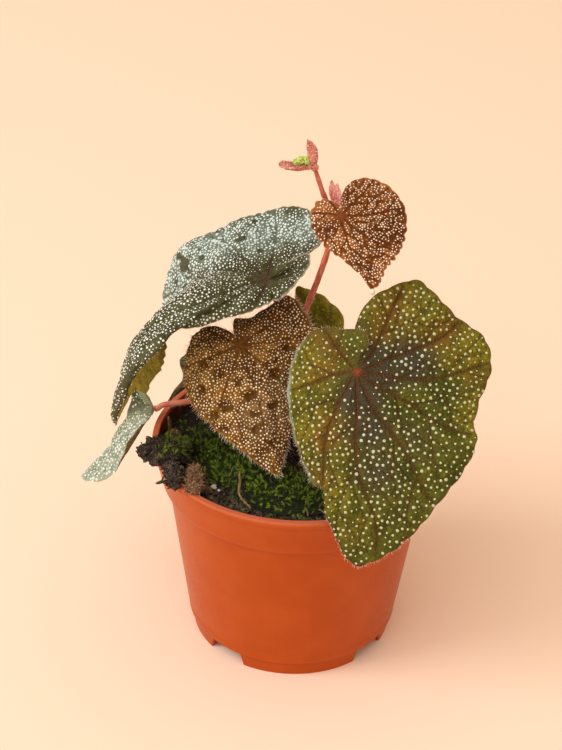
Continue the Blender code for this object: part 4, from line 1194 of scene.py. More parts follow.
route, _ = smooth_through(STUMP, STUMP_FINE)
route[:, 3] *= 1 + 0.05 * np.sin(np.arange(STUMP_FINE) * 0.9)
stump = tube("stump_of_old_stem", route, 40, STUMP_BARK)
points = points_of(stump)
top_share = held((points[:, 2] - STUMP_TOP) / 1.2)
from_middle = np.linalg.norm(points[:, :2] - np.array(STUMP[-1][:2]), axis=1)
points[:, 2] += top_share * (0.9 * noise_at(points, 1.1, 2) + 0.5 * (from_middle / 2.4) ** 2 - 0.8)
points += 0.16 * noise_at(points, 1.2, 3)[:, None]
move_points(stump, points)
keep(stump, "old_stump", "old_stump")
route, _ = smooth_through(STICK, STICK_FINE)
route[:, 3] *= 1 + 0.35 * bell(np.arange(STICK_FINE) - KNOT_AT, 3)
keep(tube("dry_stick_upright", route, 16, DRY_STEM), "dry_stick", "dry_stick")

# %% [markdown]
# Seven leaves grow on the plant. Each is written down once, by its place, its outline and the way of
# its stalk, and both its stalk and its blade are made from these numbers.

# %% Leaf plans


def leaf(name, slot, junction, facing, outline, scallop, ripple, stalk=(), side=1):
    """One leaf: where its stalk joins it, which way it faces there, its outline and its stalk's route.

    Each outline point is (across, up, nearer) from the junction, and may add how far the rib to it
    arches along the facing direction and how far it runs straight before it bends. Scallop and ripple
    are the height and length of the waves along its edge. side is 1 where the stalk comes to the back
    of the facing side, and -1 where it comes to the front.
    """
    return SimpleNamespace(
        name=name, slot=slot, junction=np.array(junction, float), facing=unit(np.array(facing, float)),
        outline=outline, scallop=scallop, ripple=ripple, stalk=stalk, side=side,
    )


BLADES = [
    leaf(
        "right", "leaf_olive", (21, -34, 145), (0.05, 0.10, 1),
        [(5, 10, 2), (3, 15, 1), (-5, 16, -3), (-15, 16, -7), (-23, 7, -12), (-26, -7, -12),
         (-24, -23, -10), (-20, -36, -6), (-17, -42, -4), (-12, -46, -2), (-12, -53, 0), (-7, -65, 0),
         (-4, -71, 0), (0, -74, 0), (11, -70, 1), (22, -61, 2), (32, -49, 2), (42, -36, 0), (46, -26, -1),
         (45, -22, -2), (47, -12, -3), (52, 1, -6), (50, 12, -8), (39, 21, -8), (31, 29, -7), (24, 35, -9),
         (15, 33, -8), (5, 27, -6), (0, 18, -4), (-1, 10, -3)],
        (0.7, 8.5), (0.4, 24.0),
        [(-5.5, 9.4, 128), (3, 8, 129), (10, 1, 131), (15, -12, 135), (19, -26, 140)],
    ),
    leaf(
        "front", "leaf_bronze", (-24, -8, 139), (0, 0.3, 1),
        [(-2, 4, -1), (-5, 6, -3), (-12, 8, -6), (-19, 4, -8), (-22, -5, -9), (-22, -16, -8),
         (-18, -25, -6), (-10, -33, -3), (0, -41, -1), (8, -47, 0), (15, -51, 1), (17, -44, -1),
         (20, -34, -3), (24, -21, -5), (28, -7, -6), (29, 5, -6), (25, 14, -6), (19, 20, -7), (10, 15, -7),
         (3, 11, -6), (-2, 11, -6), (-3, 8, -5), (-2, 3, -2)],
        (0.6, 6.5), (0.4, 15.0), [(-8, 9.6, 120.5), (-12, 8.5, 127), (-18.5, 3, 132)],
    ),
    leaf(
        "silver", "leaf_silver", (-14, 5, 162), (0, 0.70, 0.71),
        [(8, 7, 3), (16, 10, 5), (16, 5, 7), (10, -3, 8, 2, 0.5), (4, -8, 9, 3, 0.5), (-5, -12, 10, 4, 0.5),
         (-17, -16, 11, 5, 0.5), (-28, -19, 12, 6, 0.55), (-39, -21, 12, 7, 0.6), (-48, -27, 12, 8, 0.65),
         (-54, -37, 9, 8, 0.72), (-57.5, -46, 2, 9, 0.8), (-61, -58, -12, 9, 0.85), (-59, -52, -18, 9, 0.88),
         (-54, -44, -22, 9, 0.9), (-50, -45, -25, 9, 0.9), (-48, -40, -28, 8, 0.85),
         (-44, -35, -31, 7, 0.75), (-43, -27, -35, 5, 0.65), (-43, -17, -39, 3, 0.55), (-44, -5, -41),
         (-41, 7, -39), (-36, 16, -36), (-26, 20, -32), (-12, 26, -28), (3, 30, -24), (15, 30, -18),
         (20, 23, -12), (21, 15, -8), (15, 10.3, -1)],
        (0.5, 6.0), (0.4, 18.0), [(-3, 9.2, 135), (-8, 13.5, 143), (-12, 12.5, 152), (-13.6, 8.3, 158.4)],
    ),
    leaf(
        "top", "leaf_rust", (13, -5, 196), (0.10, 0.20, 1),
        [(0, 4, -1), (-4, 6, -1), (-8, 6, -2), (-11, 1, -3), (-10, -5, -3), (-6, -11, -2), (-1, -15, -1),
         (5, -20, 0), (9, -24, 1), (12, -28, 2), (15, -25, 1), (17, -20, 0), (22, -14, -2), (25, -6, -5),
         (25, 3, -7), (20, 11, -8), (12, 15, -8), (5, 14, -7), (1, 9, -4), (1, 4, -1)],
        (0.5, 4.5), (0.3, 9.0), [(11.1, 4, 189.6), (12, 0, 191.2)],
    ),
    leaf(
        "left", "leaf_silver", (-61, 14, 95), (-0.64, 0.62, 0.45),
        [(1, -2, 2), (-1, -5, 5), (-4, -8, 8), (-7, -11, 9), (-10, -16, 9), (-13, -23, 7), (-17, -29, 4),
         (-24, -31.5, 1), (-30, -30, -2.5), (-26.5, -26, -7), (-23, -23, -11), (-19, -18, -15),
         (-18, -13, -17), (-15, -9, -17), (-12, -4, -15), (-10, 3, -13), (-10, 8, -12), (-8, 9, -10),
         (-6, 4.5, -7), (-2.5, 0.8, -3)],
        (0.4, 5.0), (0.3, 9.0),
        [(-16.4, 10.3, 91), (-25, 10.6, 96.5), (-34, 11, 99.3), (-44, 12, 99.4), (-50.3, 13, 97.6),
         (-56.6, 14, 95.7)],
    ),
    leaf(
        "back_right", "leaf_dull_olive", (8, 38, 108), (0, 0.2, 1),
        [(-3, 3, -1), (-8, 4, -3), (-11, 13, -4), (-10, 22, -3), (-9, 29, 0), (-4, 28, -1), (1, 26, -3),
         (6, 22, -4), (10, 18, -5), (11, 11, -5), (8, 3, -3), (3, 0, -1)],
        (0.5, 6.0), (0.4, 11.0), [(-14.3, 10.1, 99), (-8, 17, 101), (1, 27, 105), (6.3, 34, 108.3)], side=-1,
    ),
    leaf(
        "back_left", "leaf_deep_green", (-37, 46, 103), (0.40, -0.85, 0.36),
        [(-3, 2, -1), (-9, 1, -4), (-15, -3, -8), (-14, -9, -11), (-15, -15, -14), (-19, -20, -17),
         (-22, -24, -20), (-18, -32, -24), (-10, -35, -27), (-2, -31, -28), (7, -23, -27), (11, -14, -23),
         (9, -4, -15), (3, 1, -5)],
        (0.5, 6.0), (0.4, 11.0), [(-16.8, 10.4, 86.5), (-23, 20, 95), (-30, 33, 102.5), (-35.2, 41.5, 105)],
        side=-1,
    ),
]
print("leaf plans:", ", ".join(blade.name for blade in BLADES))

# %% [markdown]
# The cane and the leaf stalks are round, fleshy and a translucent coral red, with faint pale streaks
# along them. The cane swells a little at each joint, where a stalk leaves it and an old leaf scar
# circles it. Each stalk starts inside the cane and widens at its foot, and it ends against the back
# of its blade.

# %% Cane and stalks
CANE = [
    (-18.0, 11.0, 58.0, 2.1), (-17.5, 10.5, 82.0, 2.1), (-14.0, 10.0, 100.0, 1.9), (-7.0, 9.5, 124.0, 1.8),
    (1.1, 9.0, 145.7, 1.75), (8.8, 5.0, 174.8, 1.65), (11.2, 4.0, 190.7, 1.75), (7.0, 3.5, 199.3, 1.35),
    (3.1, 2.0, 210.8, 1.2),
]
CANE_SLIMS = ((90, 150, 190), (0.9, 0.72, 0.72))
STALK_RADIUS = 1.5
STALK_END_RADIUS = 1.15
STALK_FOOT_FLARE = 0.35
STALK_CLEAR = 0.85
STALK_STRAIGHT = 2.2
SHORT_STRAIGHT = 1.2
STALK_STOP = 1.15

CANE_FINE = 260
STALK_FINE = 90
JOINT_HEIGHTS = (98.5, 120.5, 134.5, 152.0, 171.0, 189.6, 200.5, 207.0)
JOINT_SWELL = 0.14
JOINT_LENGTH = 1.1
CANE_HAIRS = 0.25
STALK_HAIRS = 0.5

STEM_DEEP = (0.44, 0.095, 0.05)
STEM_CORAL = (0.60, 0.17, 0.095)
STEM_PALE = (0.68, 0.27, 0.16)
STEM_FLECK = (0.74, 0.46, 0.30)
HAIR_DARK = (0.62, 0.34, 0.25)
HAIR_PALE = (0.85, 0.74, 0.62)


def stem_material():
    """Coral red, paler in streaks and flecks."""
    made, tree, shader = new_material(
        "begonia stem", 0.40, Specular_IOR_Level=0.3, Subsurface_Weight=0.12, Subsurface_Scale=0.001,
        Subsurface_Radius=(1.0, 0.35, 0.2),
    )
    streak, fine = grains(tree, 0.62, 0.14, 3, along="fibre")
    cloud = noise_value(tree, object_place(tree), 9, 2)
    colour = mix(tree, between(tree, cloud, 0.4, 0.6), STEM_DEEP, STEM_CORAL)
    colour = mix(tree, between(tree, streak, 0.5, 0.7, 0, 0.7), colour, STEM_PALE)
    colour = mix(tree, between(tree, fine, 0.62, 0.75, 0, 0.5), colour, STEM_FLECK)
    finish_material(tree, shader, colour, calculate(tree, "ADD", streak, times(fine, 0.4)), 0.12, 0.7)
    return made


def hair_material():
    made, tree, shader = new_material("leaf hair", 0.45, Specular_IOR_Level=0.4, Sheen_Weight=0.1)
    finish_material(tree, shader, mix(tree, attribute(tree, "shade"), HAIR_DARK, HAIR_PALE))
    return made


def stalk_route(blade):
    """The stalk's points, from inside the cane to the blade's back, with a radius at each."""
    back = -blade.side * (blade.facing @ SLANTING)
    straight = SHORT_STRAIGHT if blade.name == "left" else STALK_STRAIGHT
    ends = [tuple(blade.junction + back * reach) for reach in (STALK_CLEAR + straight, STALK_STOP)]
    spaced, at = smooth_through(blade.stalk + ends, STALK_FINE)
    share = at / at[-1]
    radii = STALK_RADIUS + (STALK_END_RADIUS - STALK_RADIUS) * share + STALK_FOOT_FLARE * np.exp(-12 * share)
    return np.column_stack([spaced, radii])


STEM = stem_material()
HAIR = hair_material()
HAIR_SHAPE = spike("hair shape", 1.0, 0.07, 0.22)
route, _ = smooth_through(CANE, CANE_FINE)
route[:, 3] *= np.interp(route[:, 2], *CANE_SLIMS)
for height in JOINT_HEIGHTS:
    off = route[:, 2] - height
    route[:, 3] *= 1 + JOINT_SWELL * bell(off, JOINT_LENGTH) - 0.05 * bell(off, JOINT_LENGTH / 3)
cane = tube("cane_of_plant", route, 32, STEM)
push_out(cane, 0.1 * noise_at(points_of(cane) * [1, 1, 0.4], 1.6, 6))
keep(cane, "stem", "cane")
hairy = [(cane, CANE_HAIRS)]
for blade in BLADES:
    stalk = tube("leafstalk_" + blade.name, stalk_route(blade), 26, STEM)
    push_out(stalk, 0.09 * noise_at(points_of(stalk) * [1, 1, 0.5], 2.0, 7))
    keep(stalk, "stem", "stalk_" + blade.name)
    hairy.append((stalk, STALK_HAIRS))


def hairs_on(stems, name, slot, **values):
    """One piece with the hairs of several stems, each given with its hairs for a square millimetre."""
    values.update(cover=1.0, Lean=0.5)
    made = [
        place_copies("hairs of " + stem.name, stem, HAIR_SHAPE, HAIR, Density=density, **values)
        for stem, density in stems
    ]
    keep(join(name, made), slot)


hairs_on(hairy, "stem_hairs", "stem", Seed=5, Smallest=0.5, Largest=1.1)

# %% [markdown]
# A blade is a fan of bent ribs that start at the stalk, the same fan as in the solids but with many
# more ribs and points. A quadratic curve sets each rib, so a blade can lie flat, cup or hang over
# with a few numbers for each outline point. The edge's scallops and ripple are waves along it.

# %% Blade surfaces
WIDEST_FAN = math.radians(354)
WIDEST_FLAT = math.radians(345)
EVEN_SHARE = 0.2
BLADE_HALF = 0.34
EDGE_HALF = 0.14


def blade_fan(blade, count):
    """Where each rib of a blade ends and the point it bends towards, from the junction, in slanting axes."""
    rows = [(*point, 0.0, 0.5)[:5] for point in blade.outline]
    spaced, at = smooth_through(rows, count)
    ends, arch, reach = spaced[:, :3].copy(), spaced[:, 3], spaced[:, 4]
    first = unit(np.cross([0, 1, 0], blade.facing))
    second = np.cross(blade.facing, first)
    angle = np.unwrap(np.arctan2(ends @ second, ends @ first))
    sense = np.sign(angle[-1] - angle[0])
    angle = np.maximum.accumulate(sense * angle)
    share = at / at[-1]
    even = angle[0] + (angle[-1] - angle[0]) * share
    angle = (1 - EVEN_SHARE) * angle + EVEN_SHARE * even
    centre = (angle[0] + angle[-1]) / 2
    angle = sense * (centre + (angle - centre) * min(1, WIDEST_FAN / (angle[-1] - angle[0])))
    start = np.cos(angle)[:, None] * first + np.sin(angle)[:, None] * second
    length = np.linalg.norm(ends, axis=1)
    bends = start * (reach * length)[:, None] + blade.facing * arch[:, None]
    fade = held(np.minimum(share, 1 - share) * 14)
    depth, pitch = blade.scallop
    wandering = at + 0.25 * pitch * np.sin(at / (2.3 * pitch))
    out = depth * (np.abs(np.sin(math.pi * wandering / pitch)) - 0.6) * fade
    ends += ends / length[:, None] * out[:, None]
    height, pitch = blade.ripple
    lift = height * np.sin(2 * math.pi * at / pitch + 1.3 * np.sin(at / 31)) * fade
    return ends, bends, lift


def blade_ribs(blade, columns, rows, teeth=(0, 1, 0)):
    """The blade's middle surface: for each rib a row of points outward from the junction, and the ribs' ends.

    teeth is the depth and pitch of fine teeth along the edge, and the direction in degrees, from
    across towards up, in which they are deepest.
    """
    ends, bends, lift = blade_fan(blade, columns)
    depth, pitch, deepest = teeth
    along = travelled(ends)
    saw = (along / pitch + 0.3 * np.sin(along / (1.7 * pitch))) % 1.0
    size = 0.55 + 0.45 * np.sin(along / (3.1 * pitch))
    size *= 0.55 + 0.45 * np.cos(np.arctan2(ends[:, 1], ends[:, 0]) - math.radians(deepest))
    ends = ends * (1 + depth * (saw * (1.15 - saw) * 3 - 0.6) * size / np.linalg.norm(ends, axis=1))[:, None]
    s = (np.arange(1, rows + 1) / rows)[None, :, None]
    ribs = 2 * s * (1 - s) * bends[:, None] + s**2 * ends[:, None]
    ribs = ribs + blade.facing * lift[:, None, None] * s**4
    return ribs @ SLANTING + blade.junction, ends


def grid_normals(ribs, facing):
    """The upward direction at each point of a blade's grid."""
    normals = unit(np.cross(np.gradient(ribs, axis=0), np.gradient(ribs, axis=1)))
    return normals * np.sign(np.sum(normals[:, 0] @ facing))


def laid_flat(ribs, junction):
    """How far out each point lies along its rib, and each rib's turn with the blade laid flat."""
    feet = np.broadcast_to(junction, (len(ribs), 1, 3))
    out = np.cumsum(np.linalg.norm(np.diff(np.concatenate([feet, ribs], 1), axis=1), axis=2), 1)
    row = int(0.7 * ribs.shape[1])
    step = np.diff(ribs[:, row], axis=0)
    way = unit(ribs[:, row + 2] - ribs[:, row - 2])[:-1]
    gap = np.linalg.norm(step - way * np.sum(step * way, axis=1)[:, None], axis=1)
    turn = np.concatenate([[0], np.cumsum(gap / (out[1:, row] + out[:-1, row]) * 2)])
    return out, turn * min(1, WIDEST_FLAT / turn[-1])


def blade_solid(name, apex, top, below, material):
    """A closed mesh from the points of a blade's upper and lower faces."""
    columns, rows = top.shape[:2]
    points = np.vstack([[apex[0]], top.reshape(-1, 3), [apex[1]], below.reshape(-1, 3)])
    other = 1 + columns * rows

    def at(column, row):
        return 0 if row < 0 else 1 + column * rows + row

    faces = []
    for column in range(columns - 1):
        for row in range(-1, rows - 1):
            corners = [at(column, row), at(column, row + 1), at(column + 1, row + 1), at(column + 1, row)]
            corners = corners[:3] if row < 0 else corners
            faces.append(tuple(corners))
            faces.append(tuple(corner + other for corner in reversed(corners)))
    edge = [at(0, row) for row in range(-1, rows)] + [at(column, rows - 1) for column in range(1, columns)]
    edge += [at(columns - 1, row) for row in range(rows - 2, -1, -1)]
    for a, b in zip(edge, edge[1:] + edge[:1]):
        faces.append((b, a, a + other, b + other))
    return smooth(outward(make_object(name, points, faces, material)), 70)


print("blade shapes ready for", ", ".join(blade.name for blade in BLADES))

# %% [markdown]
# Veins are grown on the blade laid flat. The main ones run from the stalk to chosen places on the
# edge. Side veins leave them to the left and right in turn, curve outwards, and stop short of the
# edge or of another vein, and smaller ones leave those. Each point of the blade then learns how far
# the nearest vein is, and on which side, which lets the material draw veins finer than the mesh.

# %% Veins
VEIN_STEP = 0.5
VEIN_LONGEST = 240
VEIN_SHORTEST = 8
CLEAR_OF_VEINS = 1.5
FORK = math.radians(44)
MAIN_WIDTH = (0.34, 0.12)
SIDE_WIDTHS = ((0.15, 0.08), (0.1, 0.06))
VEIN_ENDS = {
    "right": [(-13, 15), (19, 30), (40, 20), (50, 1), (45, -24), (31, -49), (8, -72), (-15, -44), (-26, -7)],
    "front": [(-15, 7), (-22, -10), (-10, -33), (15, -51), (24, -21), (29, 3), (22, 17)],
    "silver": [(16, 7), (-5, -12), (-37, -23), (-59, -52), (-44, -5), (-26, 20), (3, 30)],
    "top": [(-4, 6), (-11, 1), (-6, -11), (12, -28), (22, -14), (25, 3), (12, 15)],
    "left": [(-7, -11), (-13, -23), (-29, -30), (-19, -18), (-12, -4), (-8, 9)],
    "back_right": [(-10, 13), (-9, 29), (6, 22), (11, 11)],
    "back_left": [(-15, -6), (-22, -24), (-10, -35), (7, -23), (10, -6)],
}


def turned_by(way, angle):
    cos, sin = math.cos(angle), math.sin(angle)
    return np.array([cos * way[0] - sin * way[1], sin * way[0] + cos * way[1]])


def grow_side_vein(start, way, curl, others, reach_at):
    """A side vein's points, until it nears the edge or another vein."""
    points = [start]
    for step in range(VEIN_LONGEST):
        way = turned_by(way, curl * VEIN_STEP)
        spot = points[-1] + way * VEIN_STEP
        turn = math.atan2(spot[1], spot[0]) % (2 * math.pi)
        if math.hypot(*spot) > 0.95 * reach_at(turn):
            break
        if step > 9 and np.min(np.hypot(*(others - spot).T)) < CLEAR_OF_VEINS:
            break
        points.append(spot)
    return np.array(points)


def grow_veins(main_turns, reach_at, gaps, draw):
    """All veins of a flat blade as (points, half widths)."""
    veins = []
    for end_turn in main_turns:
        far = np.arange(0.3, 0.97 * reach_at(end_turn), VEIN_STEP)
        sway = 0.035 * np.sin(far / 8 + draw.uniform(0, 6)) * held(far / 12)
        points = far[:, None] * np.stack([np.cos(end_turn + sway), np.sin(end_turn + sway)], 1)
        veins.append((points, np.linspace(*MAIN_WIDTH, len(points))))
    parents = list(veins)
    for gap, widths in zip(gaps, SIDE_WIDTHS):
        children = []
        for points, _ in parents:
            length = len(points) * VEIN_STEP
            place, side = gap * draw.uniform(0.5, 1.0), draw.choice((-1, 1))
            while place < length - 0.5 * gap:
                at = int(place / VEIN_STEP)
                way = unit(points[at + 1] - points[at])
                way = turned_by(way, side * FORK * draw.uniform(0.85, 1.15))
                others = np.vstack([p for p, _ in veins + children])
                child = grow_side_vein(points[at], way, -side * draw.uniform(0.006, 0.022), others, reach_at)
                if len(child) > VEIN_SHORTEST:
                    children.append((child, np.linspace(*widths, len(child))))
                side = -side
                place += 0.5 * gap * draw.uniform(0.8, 1.25)
        veins += children
        parents = children
    return veins


def vein_distances(flat, veins):
    """For each flat point the distance to the nearest vein, and the same signed and in half widths."""
    samples = np.vstack([points for points, _ in veins])
    ways = np.vstack([unit(np.gradient(points, axis=0)) for points, _ in veins])
    halves = np.concatenate([widths for _, widths in veins])
    tree = kdtree.KDTree(len(samples))
    for index, (x, y) in enumerate(samples):
        tree.insert((x, y, 0), index)
    tree.balance()
    nearest = np.array([tree.find((x, y, 0))[1] for x, y in flat])
    offset = flat - samples[nearest]
    way = ways[nearest]
    across = way[:, 0] * offset[:, 1] - way[:, 1] * offset[:, 0]
    past = np.abs(way[:, 0] * offset[:, 0] + way[:, 1] * offset[:, 1])
    near = np.hypot(across, np.maximum(past - VEIN_STEP, 0))
    return near, np.sign(across) * np.maximum(np.abs(across), near) / halves[nearest]


print("vein rules ready for", len(VEIN_ENDS), "blades")

# %% [markdown]
# A leaf's colour has many layers, and each is a mask between two colours: cloudy ground, warm patches,
# a painted sheen that stands for the light's reflection, painted shade in hollows and, on most leaves,
# beside and along the sunk veins, darker lines along the veins, the net of the finest veins, and a lighter
# edge. One node group makes the masks of all leaves, with the amounts as its inputs. The net is a cell
# pattern on the flat blade, whose cells also stand up as low domes. The pale spots are raised, so they
# are small domes of their own.

# %% Leaf masks
FROM_BLADE = (
    "bright", "warm", "cool", "hollow", "blotch", "pale", "margin", "out", "vein_near", "main_near", "vein",
)
MASK_INPUTS = {
    "Net": 1.9, "Net Seen": 0.22, "Hollow": 0.2, "Blotch": 0.0, "Vein Reach": 1.6, "Vein Share": 0.5,
    "Vein Seen": 0.6, "Vein Ends": 150.0, "Vein Fades": 200.0, "Crease": 0.3, "Warm Near Veins": 0.0,
}


def leaf_mask_group():
    """Where each layer of a leaf's colour shows, from what the blade stores, and the height of its relief."""
    tree, given = new_group("leaf masks", MASK_INPUTS)
    stored = {name: attribute(tree, name) for name in FROM_BLADE}
    cloudy, mottle = grains(tree, 13, 2.0, 4, 0.55)
    near, main_near = stored["vein_near"], stored["main_near"]
    flat = node(tree, "ShaderNodeUVMap", uv_map="flat").outputs["UV"]
    close = calculate(tree, "DIVIDE", 1.0, given["Net"])
    place = node(tree, "ShaderNodeVectorMath", {0: flat, "Scale": close}, operation="SCALE").outputs[0]
    inputs = {"Vector": place, "Scale": 1.0, "Randomness": 0.9}
    cells = node(tree, "ShaderNodeTexVoronoi", inputs, voronoi_dimensions="2D", feature="DISTANCE_TO_EDGE")
    to_cell_edge = cells.outputs["Distance"]
    by_veins = calculate(tree, "SUBTRACT", 1.0, between(tree, main_near, 8.0, 0.5, 0.2, 0.85))
    by_veins = calculate(tree, "SUBTRACT", 1.0, times(by_veins, given["Warm Near Veins"]))
    warm = times(stored["warm"], between(tree, cloudy, 0.3, 0.6, 0.6, 1))
    fade = between(tree, stored["out"], given["Vein Fades"], given["Vein Ends"])
    thin = between(tree, calculate(tree, "ABSOLUTE", stored["vein"]), 1.15, 0.5)
    vein = times(thin, between(tree, near, 1.4, 1.0))
    seen = times(between(tree, main_near, 0.5, 0.3, 0.2, given["Vein Seen"]), fade)
    not_pale = calculate(tree, "SUBTRACT", 1.0, stored["pale"])
    grain, _ = grains(tree, 0.5, 0.5, 3, 0.6)
    height = calculate(tree, "ADD", between(tree, to_cell_edge, 0.0, 0.42), times(grain, 0.5))
    return finish_group(tree, {
        "Middle": between(tree, cloudy, 0.38, 0.6),
        "Light": between(tree, mottle, 0.5, 0.72, 0, 0.55),
        "Bright": times(stored["bright"], between(tree, mottle, 0.32, 0.6, 0.25, 1)),
        "Warm": times(warm, by_veins),
        # Painted Sheen: a silvery or plum-grey reflection of the light, painted where the blade stores it
        "Cool": stored["cool"],
        "Shadow": between(tree, mottle, 0.48, 0.3, 0, 0.6),
        # Painted Hollow Shade: darker where the blade is sunk, in its dents and hollows and round the silver
        # leaf's junction
        "Hollow": times(stored["hollow"], given["Hollow"]),
        # Halo and Crease: painted shade beside the main veins and along every sunk vein, in the look's
        # along-vein colour; on the left leaf that colour is a paler green.
        "Halo": times(between(tree, main_near, given["Vein Reach"], 0.2, 0, given["Vein Share"]), fade),
        "Crease": between(tree, near, 0.7, 0.1, 0, given["Crease"]),
        "Net": times(between(tree, to_cell_edge, 0.13, 0.02), given["Net Seen"]),
        "Blotch": between(tree, stored["blotch"], 0.1, 0.5, 0, given["Blotch"]),
        "Pale": times(stored["pale"], between(tree, stored["margin"], 3.0, 0.3)),
        "Vein": times(vein, 0.5),
        "Bold Vein": times(vein, seen),
        "Past Foot": between(tree, stored["out"], 0.6, 2.8),
        "Rim": times(between(tree, stored["margin"], 0.7, 0.1, 0, 0.7), not_pale),
        "Below Light": between(tree, mottle, 0.45, 0.7, 0, 0.4),
        "Height": calculate(tree, "SUBTRACT", height, times(vein, 0.5)),
        "Mottle": mottle,
    })


LEAF_MASKS = leaf_mask_group()
print("leaf masks:", ", ".join(socket.name for socket in LEAF_MASKS.interface.items_tree))

# %% [markdown]
# Six kinds of leaf grow here, from olive with a red midrib to silver and rust, and two of them hang
# at the back; the silver is a painted sheen, the light's reflection given as colour. A look lists one
# kind's colours, from its dark ground, which also paints the shade in its hollows, to its spots.

# %% Leaf colours


def leaf_look(ground, warm, cool, vein, spot, edge, under, gap, radius, **own):
    """The colours and spots of one kind of leaf, and its own amounts of what the mask group takes.

    A spot's gap, radius and distance from the main veins, which is bare, are in millimetres. far_spot
    is the spots' colour and far_size their growth where the painted sheen lies, the light's reflection
    painted on the leaf.
    """
    look = SimpleNamespace(
        warm=warm, cool=cool, spot=spot, far_spot=spot, edge=edge, under=under, under_warm=under, gap=gap,
        radius=radius, pale=ground[2], far_size=1.0, bare=0.7, clear_of_sides=0.0, uneven=0.25,
        spots_lost=0.0, roughness=0.5, puff=0.7, quilt=0.22, masks=dict(MASK_INPUTS),
    )
    look.dark, look.middle, look.light = ground
    look.vein_foot, look.vein, look.along_vein = vein
    for key, value in own.items():
        as_input = key.replace("_", " ").title()
        if as_input in MASK_INPUTS:
            look.masks[as_input] = value
        else:
            setattr(look, key, value)
    return look


